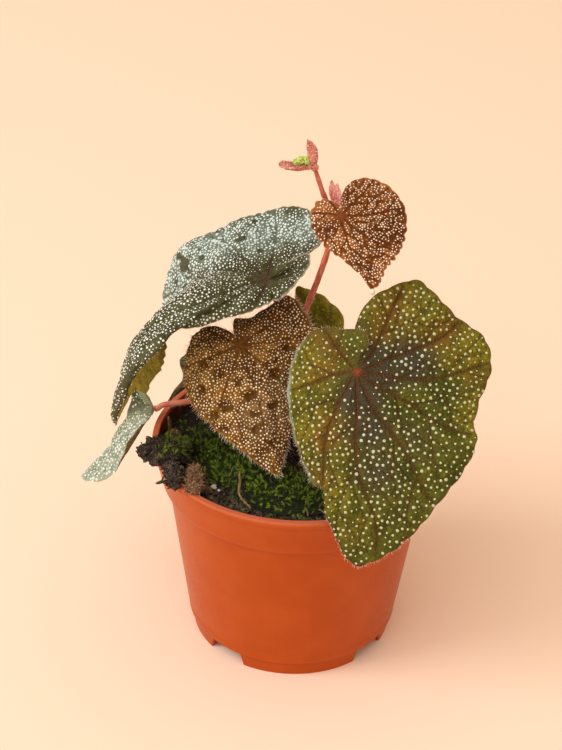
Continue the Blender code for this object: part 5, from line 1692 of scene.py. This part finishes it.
LOOKS = {
    "leaf_olive": leaf_look(
        ground=((0.043, 0.048, 0.002), (0.094, 0.092, 0.006), (0.22, 0.185, 0.008)),
        warm=(0.185, 0.078, 0.006), cool=(0.058, 0.042, 0.027),
        vein=((0.36, 0.05, 0.03), (0.125, 0.030, 0.013), (0.058, 0.026, 0.006)),
        spot=(0.57, 0.60, 0.39), far_spot=(0.60, 0.65, 0.50), gap=2.0, radius=0.53, far_size=1.1,
        edge=(0.13, 0.06, 0.02), under=(0.22, 0.10, 0.06), pale=(0.33, 0.38, 0.29),
        roughness=0.45, puff=0.7, quilt=0.6, vein_reach=1.3, vein_share=0.3, bare=0.6, uneven=0.42,
        net=1.5, net_seen=0.5, hollow=0.5, crease=0.55, warm_near_veins=1.0,
    ),
    "leaf_bronze": leaf_look(
        ground=((0.095, 0.036, 0.002), (0.23, 0.100, 0.008), (0.36, 0.19, 0.03)),
        warm=(0.13, 0.042, 0.004), cool=(0.24, 0.17, 0.08),
        vein=((0.16, 0.045, 0.015), (0.11, 0.038, 0.006), (0.075, 0.024, 0.001)),
        spot=(0.97, 0.88, 0.68), gap=1.08, radius=0.37, far_size=0.85,
        edge=(0.34, 0.18, 0.07), under=(0.22, 0.07, 0.04),
        roughness=0.48, puff=0.8, quilt=0.8, vein_reach=0.9, vein_share=0.3, bare=0.1, uneven=0.4,
        net=2.6, hollow=0.85, crease=0.35, vein_seen=0.35,
    ),
    "leaf_silver": leaf_look(
        ground=((0.045, 0.042, 0.010), (0.085, 0.092, 0.040), (0.16, 0.18, 0.11)),
        warm=(0.10, 0.10, 0.05), cool=(0.19, 0.232, 0.185),
        vein=((0.10, 0.03, 0.02), (0.075, 0.035, 0.02), (0.050, 0.035, 0.014)),
        spot=(0.95, 0.97, 0.92), far_spot=(0.70, 0.83, 0.81), gap=1.15, radius=0.42, far_size=1.4,
        # painted backlight: the yellow-olive glow of light shining through the hanging tip, on its underside
        edge=(0.40, 0.41, 0.30), under=(0.055, 0.06, 0.022), under_warm=(0.52, 0.44, 0.075),
        roughness=0.42, puff=0.6, quilt=0.3, bare=0.35, uneven=0.5,
        blotch=0.8, hollow=0.5, vein_seen=0.9, vein_fades=22, vein_ends=9,
    ),
    "leaf_rust": leaf_look(
        ground=((0.12, 0.032, 0.003), (0.31, 0.105, 0.018), (0.47, 0.22, 0.07)),
        warm=(0.22, 0.06, 0.008), cool=(0.20, 0.10, 0.05),
        vein=((0.26, 0.06, 0.02), (0.14, 0.04, 0.008), (0.085, 0.022, 0.002)),
        spot=(0.97, 0.86, 0.70), gap=0.9, radius=0.34,
        edge=(0.34, 0.16, 0.08), under=(0.25, 0.07, 0.04),
        roughness=0.44, puff=1.35, quilt=0.35, bare=0.3, clear_of_sides=0.3,
        vein_reach=0.7, vein_share=0.4, net=2.0, hollow=0.5, crease=0.8,
    ),
    # On this leaf the warm colour is nearly black: painted shade on the upper lobe, which curls away from the
    # light.
    "left": leaf_look(
        ground=((0.05, 0.055, 0.012), (0.10, 0.11, 0.03), (0.20, 0.22, 0.12)),
        warm=(0.012, 0.015, 0.002), cool=(0.36, 0.41, 0.31),
        vein=((0.2, 0.16, 0.08), (0.2, 0.2, 0.12), (0.20, 0.23, 0.14)),
        spot=(0.62, 0.66, 0.40), far_spot=(0.80, 0.86, 0.80), gap=1.25, radius=0.45, far_size=1.25,
        edge=(0.40, 0.41, 0.30), under=(0.17, 0.19, 0.09),
        roughness=0.42, puff=0.6, quilt=0.3, bare=0.0, uneven=0.5, vein_share=0.2, spots_lost=0.6,
    ),
    "leaf_dull_olive": leaf_look(
        ground=((0.12, 0.108, 0.004), (0.26, 0.23, 0.014), (0.38, 0.34, 0.04)),
        warm=(0.46, 0.28, 0.11), cool=(0.09, 0.08, 0.03),
        vein=((0.2, 0.08, 0.03), (0.16, 0.12, 0.03), (0.10, 0.08, 0.01)),
        spot=(0.36, 0.36, 0.15), gap=4.6, radius=0.42,
        edge=(0.3, 0.22, 0.1), under=(0.14, 0.11, 0.04), roughness=0.55, puff=0.6,
    ),
    "leaf_deep_green": leaf_look(
        ground=((0.02, 0.035, 0.005), (0.05, 0.085, 0.014), (0.10, 0.15, 0.04)),
        warm=(0.09, 0.05, 0.02), cool=(0.06, 0.09, 0.05),
        vein=((0.2, 0.06, 0.03), (0.08, 0.07, 0.03), (0.03, 0.035, 0.01)),
        spot=(0.5, 0.56, 0.42), gap=2.4, radius=0.45,
        edge=(0.2, 0.22, 0.12), under=(0.06, 0.055, 0.02), puff=0.6,
    ),
}


def leaf_material(name, look):
    """A leaf's layers of colour, laid over each other by the masks, and the colours of its underside."""
    made, tree, shader = new_material(name, look.roughness, Specular_IOR_Level=0.13)
    masks = use_group(tree, LEAF_MASKS, **look.masks)
    foot = mix(tree, masks["Past Foot"], look.vein_foot, look.vein)
    colour = look.dark
    for mask, layer in (
        ("Middle", look.middle), ("Light", look.light), ("Bright", look.light), ("Warm", look.warm),
        ("Cool", look.cool), ("Shadow", look.dark), ("Hollow", look.dark), ("Halo", look.along_vein),
        ("Crease", look.along_vein), ("Net", look.dark), ("Blotch", look.dark), ("Pale", look.pale),
        ("Bold Vein", foot), ("Rim", look.edge),
    ):
        colour = mix(tree, masks[mask], colour, layer)
    # On the underside the warm places take the painted backlight, which on the silver leaf is light shining
    # through its hanging tip.
    below = mix(tree, attribute(tree, "warm"), look.under, look.under_warm)
    for mask, layer in (("Vein", look.vein_foot), ("Below Light", look.along_vein)):
        below = mix(tree, masks[mask], below, layer)
    rough = between(tree, masks["Mottle"], 0.3, 0.7, look.roughness - 0.06, look.roughness + 0.1)
    tree.links.new(rough, shader.inputs["Roughness"])
    both_sides = mix(tree, attribute(tree, "under"), colour, below)
    finish_material(tree, shader, both_sides, masks["Height"], 0.3, 0.9)
    return made


def spot_material(name, look):
    """The spots' pale skin, in the painted sheen's colour where that lies, its tone varied at random from
    spot to spot.
    """
    made, tree, shader = new_material(name + " spots", 0.45, Specular_IOR_Level=0.2)
    colour = mix(tree, attribute(tree, "cool"), look.spot, look.far_spot)
    finish_material(tree, shader, mix(tree, times(attribute(tree, "shade"), 0.3), colour, look.light))
    return made


print("leaf looks:", ", ".join(LOOKS))

# %% [markdown]
# Patches of warmer or paler colour, of painted sheen and of painted shade are soft balls placed in the
# same slanting directions as the outline, and the front leaf's dents are pressed in the same way.

# %% Patches and dents
# Soft balls of colour on each blade as (across, up, nearer, radius, strength)
PATCHES = {
    "right": dict(
        bright=[(-18, 0, -9, 18, 0.8), (-16, -24, -6, 16, 0.9), (-9, -46, -2, 13, 0.8), (15, 27, -7, 18, 0.9),
                (44, 8, -7, 16, 0.8), (28, 22, -7, 15, 0.6), (46, -18, -3, 15, 0.7), (0, -60, 0, 9, 0.4)],
        warm=[(14, 20, -5, 22, 1.0), (34, 14, -6, 18, 0.8), (-14, 6, -5, 16, 1.0), (-10, -22, -3, 18, 0.9),
              (-12, -42, -2, 12, 0.7), (48, -6, -4, 14, 0.7), (-4, -60, 0, 10, 0.5), (20, -60, 1, 9, 0.4)],
        # painted sheen: the plum-grey reflection right of the junction and down the middle
        cool=[(10, 1, 0, 15, 1.0), (20, 3, -2, 15, 0.8), (2, -10, 0, 14, 1.0), (5, -22, 0, 15, 0.75),
              (8, -38, 0, 15, 0.55), (22, -26, 0, 13, 0.3)],
        pale=[(-27, -7, -13, 14, 0.9), (-25, -22, -11, 12, 0.8), (-20, -38, -6, 8, 0.5),
              (-24, 6, -12, 10, 0.8)],
    ),
    "front": dict(
        warm=[(16, 14, -6, 22, 0.9), (-8, 6, -3, 10, 0.8), (2, 2, -1, 8, 0.6)],
        bright=[(-16, -10, -7, 12, 0.6), (-8, -24, -4, 10, 0.5)],
        cool=[(8, -28, -1, 14, 0.5), (16, -16, -3, 10, 0.3)],
    ),
    "silver": dict(
        pale=[(20, 17, -8, 9, 1.0)],
        # dark: painted shade in the valley round the junction, laid with the hollows' painted shade
        dark=[(0, 3, -3, 13, 1.0), (7, 9, -6, 10, 0.9), (-9, 2, -5, 10, 0.7), (-18, -2, -8, 9, 0.5)],
        # painted sheen: the blue-silver reflection over the far half
        cool=[(-36, 4, -36, 26, 0.9), (-20, 12, -28, 22, 0.9), (-2, 18, -20, 20, 0.9),
              (-46, -18, -34, 20, 0.7), (14, 20, -14, 14, 0.8)],
        # warm: the hanging tip, olive above and with the painted backlight glow beneath
        warm=[(-52, -38, -20, 34, 1.0), (-58, -46, -10, 26, 1.0)],
    ),
    "top": dict(warm=[(4, 6, -3, 14, 0.5)], cool=[(6, -6, -1, 5, 0.5), (12, 0, -3, 5, 0.3)]),
    # left: the painted sheen is a silvery reflection over the blade; the warm balls are painted shade on the
    # upper lobe.
    "left": dict(cool=[(-14, -18, 2, 28, 1.0), (-26, -28, -2, 24, 1.0), (-8, -9, 5, 14, 1.0)],
                 warm=[(-8, 6, -10, 17, 1.0), (-5, 3, -6, 10, 1.0), (-11, 2, -14, 10, 1.0)]),
    "back_right": dict(warm=[(-12, 20, -3, 9, 1.0)]),
    "back_left": dict(warm=[(-16, -12, -12, 10, 0.5)]),
}

# Dents in a blade as (across, up, radius, depth)
DENTS = {
    "front": [
        (-9, -11, 2.6, 1.3), (-15, -7, 2.2, 0.9), (-6, -24, 2.8, 1.5), (-11, -28, 2.2, 1.2),
        (-6, -33, 2.0, 0.9), (4, -20, 2.8, 1.5), (6, -27, 2.2, 1.1), (7, -33, 2.6, 1.3),
        (12, -39, 2.0, 0.9), (14, -11, 2.6, 1.2), (19, -1, 2.6, 1.1), (-1, -14, 2.2, 0.9),
        (13, -24, 2.2, 0.9), (-16, -17, 2.0, 0.9),
    ],
}
DENT_DEEPER = 1.5


def soft_patches(slanting, balls):
    """The strongest of some soft balls at each point, from 0 to 1."""
    strength = np.zeros(len(slanting))
    for across, up, nearer, radius, most in balls:
        close = held(1 - np.linalg.norm(slanting - [across, up, nearer], axis=1) / radius)
        strength = np.maximum(strength, most * close**2 * (3 - 2 * close) * 1.6)
    return held(strength)


def dents_in(blade, slanting):
    """How deep each point is pressed in."""
    dented = np.zeros(len(slanting))
    for across, up, radius, depth in DENTS.get(blade.name, []):
        off = np.hypot(slanting[:, 0] - across, 1.3 * (slanting[:, 1] - up)) / radius
        dented = np.maximum(dented, DENT_DEEPER * depth * np.exp(-(off**3)))
    return dented


print("patches on", ", ".join(PATCHES))

# %% [markdown]
# Raised spots stand close together over a blade's upper face, a gap apart, and keep clear of its main
# veins. The edge carries a fringe of hairs, as on all of these leaves, and each hair leans its own way.

# %% Spots and fringes
FRINGE_GAP = 0.45
FRINGE_LENGTHS = {"right": 1.7, "front": 2.6, "silver": 2.0, "top": 1.3}
OTHER_FRINGE = 1.5
SPOT_SHAPES = (dome("small spot shape", 6), dome("large spot shape", 8))


def fringe_points(name, ribs, normals, draw):
    """Points along a blade's edge, each with the direction its hair grows in."""
    edge = ribs[:, -1]
    outward_way = unit(edge - ribs[:, -3])
    along = travelled(edge)
    places, ways = [], []
    at = 0.0
    while at < along[-1]:
        k = int(np.searchsorted(along, at).clip(1, len(along) - 1))
        share = (at - along[k - 1]) / max(along[k] - along[k - 1], 1e-6)
        place = edge[k - 1] * (1 - share) + edge[k] * share
        way = outward_way[k] + 0.35 * draw.gauss(0, 1) * normals[k, -1] + 0.25 * normals[k, -1]
        tangent = edge[k] - edge[k - 1]
        way = way + 0.4 * draw.gauss(0, 1) * tangent / max(np.linalg.norm(tangent), 1e-6)
        places.append(place + normals[k, -1] * draw.uniform(-0.12, 0.12) - outward_way[k] * 0.1)
        ways.append(unit(way))
        at += FRINGE_GAP * draw.uniform(0.4, 1.6)
    holder = make_object("edge of " + name, places, [])
    store(holder, "outward", ways)
    return holder


def fringe(name, ribs, normals, seed, length, slot):
    """A blade's fringe: one hair on each point of its edge."""
    holder = fringe_points(name, ribs, normals, random.Random(seed))
    keep(place_copies(
        "fringe_" + name, holder, HAIR_SHAPE, HAIR, tree=ALONG_POINTS, Seed=seed, Smallest=0.45 * length,
        Largest=length, Lean=0.35,
    ), slot)
    remove(holder)


def add_spots(blade, look, top, values, seed):
    """The blade's pale spots, spaced out over its upper face, clear of its main veins and its edge."""
    columns, rows = top.shape[:2]
    faces = [
        (k * rows + r, k * rows + r + 1, (k + 1) * rows + r + 1, (k + 1) * rows + r)
        for k in range(columns - 1) for r in range(rows - 1)
    ]
    ground = make_object("ground of spots", top.reshape(-1, 3), faces)
    facing = Vector(blade.facing @ SLANTING)
    ground.data.update()
    if np.mean([face.normal @ facing for face in ground.data.polygons]) < 0:
        ground.data.flip_normals()
    for name, numbers in values.items():
        store(ground, name, numbers.reshape(-1))
    spots = place_copies(
        "spots_" + blade.name, ground, SPOT_SHAPES[blade.name == "right"], spot_material(blade.name, look),
        tree=SPACED_OUT, Density=3.0 / look.gap**2, Gap=look.gap, Seed=seed, Smallest=1 - look.uneven,
        Largest=1 + look.uneven, Lean=0.0,
    )
    remove(ground)
    keep(smooth(spots, 80), blade.slot)


print("spots of", len(SPOT_SHAPES), "shapes")

# %% [markdown]
# Each blade gets its relief from its veins: they sink a little on the upper face and stand proud on
# the lower one, and the leaf puffs up between them. What the material reads is stored on its points.

# %% Leaf blades
FINE_GRID = {
    "right": (360, 68), "silver": (360, 68), "front": (270, 54), "top": (200, 42), "left": (170, 36),
    "back_right": (120, 30), "back_left": (120, 30),
}
VEIN_GAPS = {"right": (15, 11), "silver": (13, 9), "front": (8.5, 7), "top": (5.5, 5)}
OTHER_GAPS = (9, 8)
SINK = 0.3
RIDGE_BELOW = 0.35
SECTOR_PUFF = {"right": 1.5, "silver": 1.5, "top": 0.5}
OTHER_PUFF = 0.4
TEETH = {
    "top": (2.2, 3.0, 240), "front": (0.5, 2.4, 230), "silver": (3.0, 4.2, 215), "left": (1.6, 3.4, 300),
}
OTHER_TEETH = (0.3, 2.4, 230)


def add_blade(blade, material, look, seed):
    """One leaf blade with its relief and what its material reads, its spots and its fringe."""
    columns, rows = FINE_GRID[blade.name]
    ribs, ends = blade_ribs(blade, columns, rows, TEETH.get(blade.name, OTHER_TEETH))
    facing = blade.facing @ SLANTING
    normals = grid_normals(ribs, facing)
    out, turn = laid_flat(ribs, blade.junction)
    flat = (out[:, :, None] * np.stack([np.cos(turn), np.sin(turn)], 1)[:, None]).reshape(-1, 2)

    def on_grid(values):
        return values.reshape(columns, rows)

    def reach_at(angle):
        return float(np.interp(angle, turn, out[:, -1], left=0, right=0))

    picked = [int(np.argmin(np.hypot(ends[:, 0] - a, ends[:, 1] - u))) for a, u in VEIN_ENDS[blade.name]]
    gaps = VEIN_GAPS.get(blade.name, OTHER_GAPS)
    veins = grow_veins([turn[k] for k in picked], reach_at, gaps, random.Random(seed))
    near, signed = [on_grid(values) for values in vein_distances(flat, veins)]
    main_near = on_grid(vein_distances(flat, veins[: len(picked)])[0])

    slanting = (ribs.reshape(-1, 3) - blade.junction) @ SLANTING.T
    dented = on_grid(dents_in(blade, slanting))
    quilt = on_grid(noise_at(flat, 4.2, seed))
    margin = out[:, -1:] - out
    inward = held(margin / 5) * held(out / 6)
    puffed = look.puff * (1 - bell(near, 2.2)) + look.quilt * quilt
    puffed += SECTOR_PUFF.get(blade.name, OTHER_PUFF) * (1 - bell(main_near, 6))
    relief = (puffed - 0.5 * look.puff - SINK * bell(near, 0.6)) * inward - dented
    half = EDGE_HALF + (BLADE_HALF - EDGE_HALF) * held(margin / 1.6) ** 0.6
    ridge = RIDGE_BELOW * bell(near, 0.55) * inward
    top = ribs + normals * (relief + half)[:, :, None]
    below = ribs + normals * (relief - half - ridge)[:, :, None]
    apex = [blade.junction + facing * reach for reach in (0.3, -0.3)]
    made = blade_solid("leafblade_" + blade.name, apex, top, below, material)

    # The dark balls are painted shade; they join the painted shade of the hollows below.
    bright, warm, cool, pale, dark = (
        on_grid(soft_patches(slanting, PATCHES[blade.name].get(kind, [])))
        for kind in ("bright", "warm", "cool", "pale", "dark")
    )
    blotch = held((on_grid(noise_at(flat, 5.5, seed + 4)) - 0.3) * 5) * held((main_near - 1) / 2)
    blotch = blotch * held(out / 8 - 0.5) * cool * (look.masks["Blotch"] > 0)
    # Painted shade where the quilting noise sinks the surface.
    hollow = held(-quilt * 3.2 - 0.35) * inward
    # Painted shade in the dents.
    if dented.any():
        hollow = np.maximum(0.7 * hollow, held(dented))
    stored = dict(vein_near=near, main_near=main_near, vein=signed, margin=margin, out=out, bright=bright)
    stored.update(warm=warm, cool=cool, pale=pale, blotch=blotch, hollow=np.maximum(hollow, dark))
    for kind, values in stored.items():
        at_apex = [9.0 if kind == "margin" else 0.0]
        store(made, kind, np.concatenate([at_apex, values.reshape(-1)] * 2))
    store(made, "under", np.repeat([0, 1], 1 + columns * rows))
    store_uv(made, "flat", np.vstack([[[0, 0]], flat] * 2))
    keep(made, blade.slot, "blade_" + blade.name)

    far = out / out.max()
    cover = held((main_near - look.bare) * 4) * held((margin - 0.7) * 4)
    cover *= held((near - look.clear_of_sides) * 8 + 1) * (1 - 0.55 * held(dented))
    cover *= (1 - look.spots_lost * warm) * held((far - 0.05) / 0.04) * (1 - held(blotch * 2))
    size = look.radius * (1 + (look.far_size - 1) * cool) * np.interp(far, (0.06, 0.3), (0.65, 1))
    add_spots(blade, look, top, {"cover": cover, "size": size, "cool": cool}, seed)
    fringe(blade.name, ribs, normals, seed, FRINGE_LENGTHS.get(blade.name, OTHER_FRINGE), blade.slot)
    print(f"blade {blade.name}: {len(veins)} veins")


DROP_COLOUR = (0.8, 0.68, 0.55, 1)
DROP_SIZES = (1.0, 0.9, 1.25)
DROP_FROM_STALK = np.array([12.0, -28.9, 2.4])
drop_skin, _, drop_shader = new_material("drop", 0.05, Specular_IOR_Level=0.6)
drop_shader.inputs["Base Color"].default_value = DROP_COLOUR
top_leaf = BLADES[3]
drop_place = top_leaf.junction + DROP_FROM_STALK @ SLANTING
keep(smooth(lump("drop_at_tip", DROP_SIZES, drop_place, 2, 3, 0.05, drop_skin)), top_leaf.slot)
materials = {name: leaf_material(name.replace("_", " "), look) for name, look in LOOKS.items()}
for index, blade in enumerate(BLADES):
    kind = blade.name if blade.name in LOOKS else blade.slot
    add_blade(blade, materials[kind], LOOKS[kind], seed=40 + index)
remove(*SPOT_SHAPES)

# %% [markdown]
# The youngest leaf is still folded: a red hood and a lower lobe around a crumpled lime heart, all
# bristling with hairs. The lobes are blades with every rib arched the same way. Two thin pink scales,
# the stipules, stand where the top leaf's stalk leaves the cane.

# %% Young leaf and stipules
LOBE_REACH = 0.6
LOBE_SCALLOP = (0.25, 2.4)
LOBE_GRID = (90, 22)
LOBE_HALF = 0.32

# The young leaf at the cane's tip, its outlines across, up and nearer
YOUNG_BASE = (2.6, 1.8, 212.6)
HOOD_FACING = (1, 0.1, 0.05)
HOOD_ARCH = 0.34
HOOD_ENDS = [
    (-1.4, 0.8, 2.0), (-2.2, 3.2, 3.4), (-2.7, 6.2, 3.2), (-3.0, 8.6, 1.8), (-2.8, 10.9, 0.0),
    (-3.0, 8.6, -1.8), (-2.8, 6.2, -3.2), (-2.4, 3.2, -3.4), (-1.6, 0.8, -2.0),
]
LIP_FACING = (-0.1, -1, 0.05)
LIP_ARCH = 0.24
LIP_ENDS = [
    (-1.4, 0.2, 2.4), (-4.4, -0.1, 3.6), (-7.4, -0.5, 3.4), (-10.6, -0.6, 2.6), (-13.4, 0.4, 0.8),
    (-12.8, 2.6, -2.0), (-8.2, 2.7, -3.4), (-4.6, 2.1, -3.8), (-1.6, 1.2, -2.4),
]
YOUNG_CRUMPLE = 0.45
KNOB_RADIUS = 1.575
HEART_LAYERS = ((0.9, 0.35), (0.45, 0.16))
HEART_MELT = 0.16
HEART_TALLER = 1.25

# The scales at the foot of the top leaf's stalk
STIPULE_BASE = (12.3, 5.3, 194.4)
STIPULE_FACING = (0.15, 0.1, 1)
STIPULE_ARCH = 0.04
STIPULE_CRUMPLE = 0.12
STIPULE_ENDS = [
    (-0.9, 0.6, 1.0), (-3.0, 3.6, 1.2), (-3.6, 7.0, 0.6), (-2.4, 10.6, 0.0), (-1.3, 8.6, -0.6),
    (-0.3, 9.4, -0.8), (0.5, 7.6, -0.6), (1.2, 5.2, 0.2), (1.2, 2.6, 0.8), (0.8, 0.6, 0.8),
]


def soft_material(name, deep, middle, light, size, gloss, relief, translucent=0.15):
    """A thin young tissue: three colours in soft patches, glossy and slightly translucent."""
    made, tree, shader = new_material(
        name, gloss, Specular_IOR_Level=0.55, Subsurface_Weight=translucent, Subsurface_Scale=0.001,
        Subsurface_Radius=(1.0, 0.5, 0.3), Sheen_Weight=0.1, Sheen_Roughness=0.4,
    )
    patchy, fine = grains(tree, size, size * 0.3)
    colour = mix(tree, between(tree, patchy, 0.38, 0.6), deep, middle)
    finish_material(tree, shader, mix(tree, between(tree, fine, 0.5, 0.7), colour, light), fine, relief)
    return made


CORAL_SKIN = soft_material(
    "young leaf skin", (0.42, 0.08, 0.055), (0.62, 0.19, 0.13), (0.82, 0.50, 0.38), 2.6, 0.42, 0.3,
)
LIME_HEART = soft_material(
    "lime heart", (0.24, 0.32, 0.02), (0.46, 0.58, 0.07), (0.86, 0.92, 0.50), 1.6, 0.3, 0.4,
)
SCALE_SKIN = soft_material(
    "stipule skin", (0.66, 0.16, 0.14), (0.84, 0.36, 0.30), (0.92, 0.70, 0.58), 3.0, 0.35, 0.15, 0.3,
)


def add_lobe(name, base, facing, ends, arch, material, crumple, seed):
    """A small folded lobe with crumpled faces, and its middle surface with the directions off it."""
    outline = [(*end, arch * math.hypot(*end), LOBE_REACH) for end in ends]
    lobe = leaf(name, None, base, facing, outline, LOBE_SCALLOP, (0, 1))
    ribs, _ = blade_ribs(lobe, *LOBE_GRID)
    way = lobe.facing @ SLANTING
    normals = grid_normals(ribs, way)
    places = ribs.reshape(-1, 3)
    rough = crumple * noise_at(places, 1.7, seed) + 0.4 * crumple * noise_at(places, 0.8, seed + 1)
    rough = rough.reshape(ribs.shape[:2]) * np.linspace(0.2, 1, LOBE_GRID[1])
    half = LOBE_HALF * np.linspace(1, 0.45, LOBE_GRID[1])[None, :, None]
    middle = ribs + normals * rough[:, :, None]
    apex = [lobe.junction + way * LOBE_HALF, lobe.junction - way * LOBE_HALF]
    made = blade_solid(name, apex, middle + normals * half, middle - normals * half, material)
    return made, (middle, normals)


hood, hood_edge = add_lobe(
    "young_hood", YOUNG_BASE, HOOD_FACING, HOOD_ENDS, HOOD_ARCH, CORAL_SKIN, YOUNG_CRUMPLE, 3,
)
lip, lip_edge = add_lobe(
    "young_lower_lobe", YOUNG_BASE, LIP_FACING, LIP_ENDS, LIP_ARCH, CORAL_SKIN, YOUNG_CRUMPLE, 7,
)
knob = smooth(lump("young_knob", (KNOB_RADIUS,) * 3, YOUNG_BASE, 5, 4, 0.12, CORAL_SKIN))
for piece in (hood, lip, knob):
    keep(piece, "young_leaf", "young_leaf")
hairy = [(hood, 0.28), (lip, 0.25), (knob, 0.3)]
hairs_on(hairy, "young_hairs", "young_leaf", Seed=9, Smallest=0.9, Largest=1.9)
fringe("hood", *hood_edge, 61, 1.3, "young_leaf")
fringe("lower_lobe", *lip_edge, 61, 1.3, "young_leaf")

heart = from_solid("young_leaf_heart", "lime_heart", HEART_MELT, LIME_HEART)
points = points_of(heart)
foot_height = points[:, 2].min()
points[:, 2] = foot_height + (points[:, 2] - foot_height) * HEART_TALLER
move_points(heart, points)
roughen(heart, HEART_LAYERS)
keep(smooth(heart, 60), "young_leaf_heart", "young_leaf_heart")

scale, scale_edge = add_lobe(
    "stipule_pair", STIPULE_BASE, STIPULE_FACING, STIPULE_ENDS, STIPULE_ARCH, SCALE_SKIN, STIPULE_CRUMPLE, 5,
)
fringe("stipule", *scale_edge, 63, 1.5, "stipule")
keep(scale, "stipule", "stipule")
remove(HAIR_SHAPE)
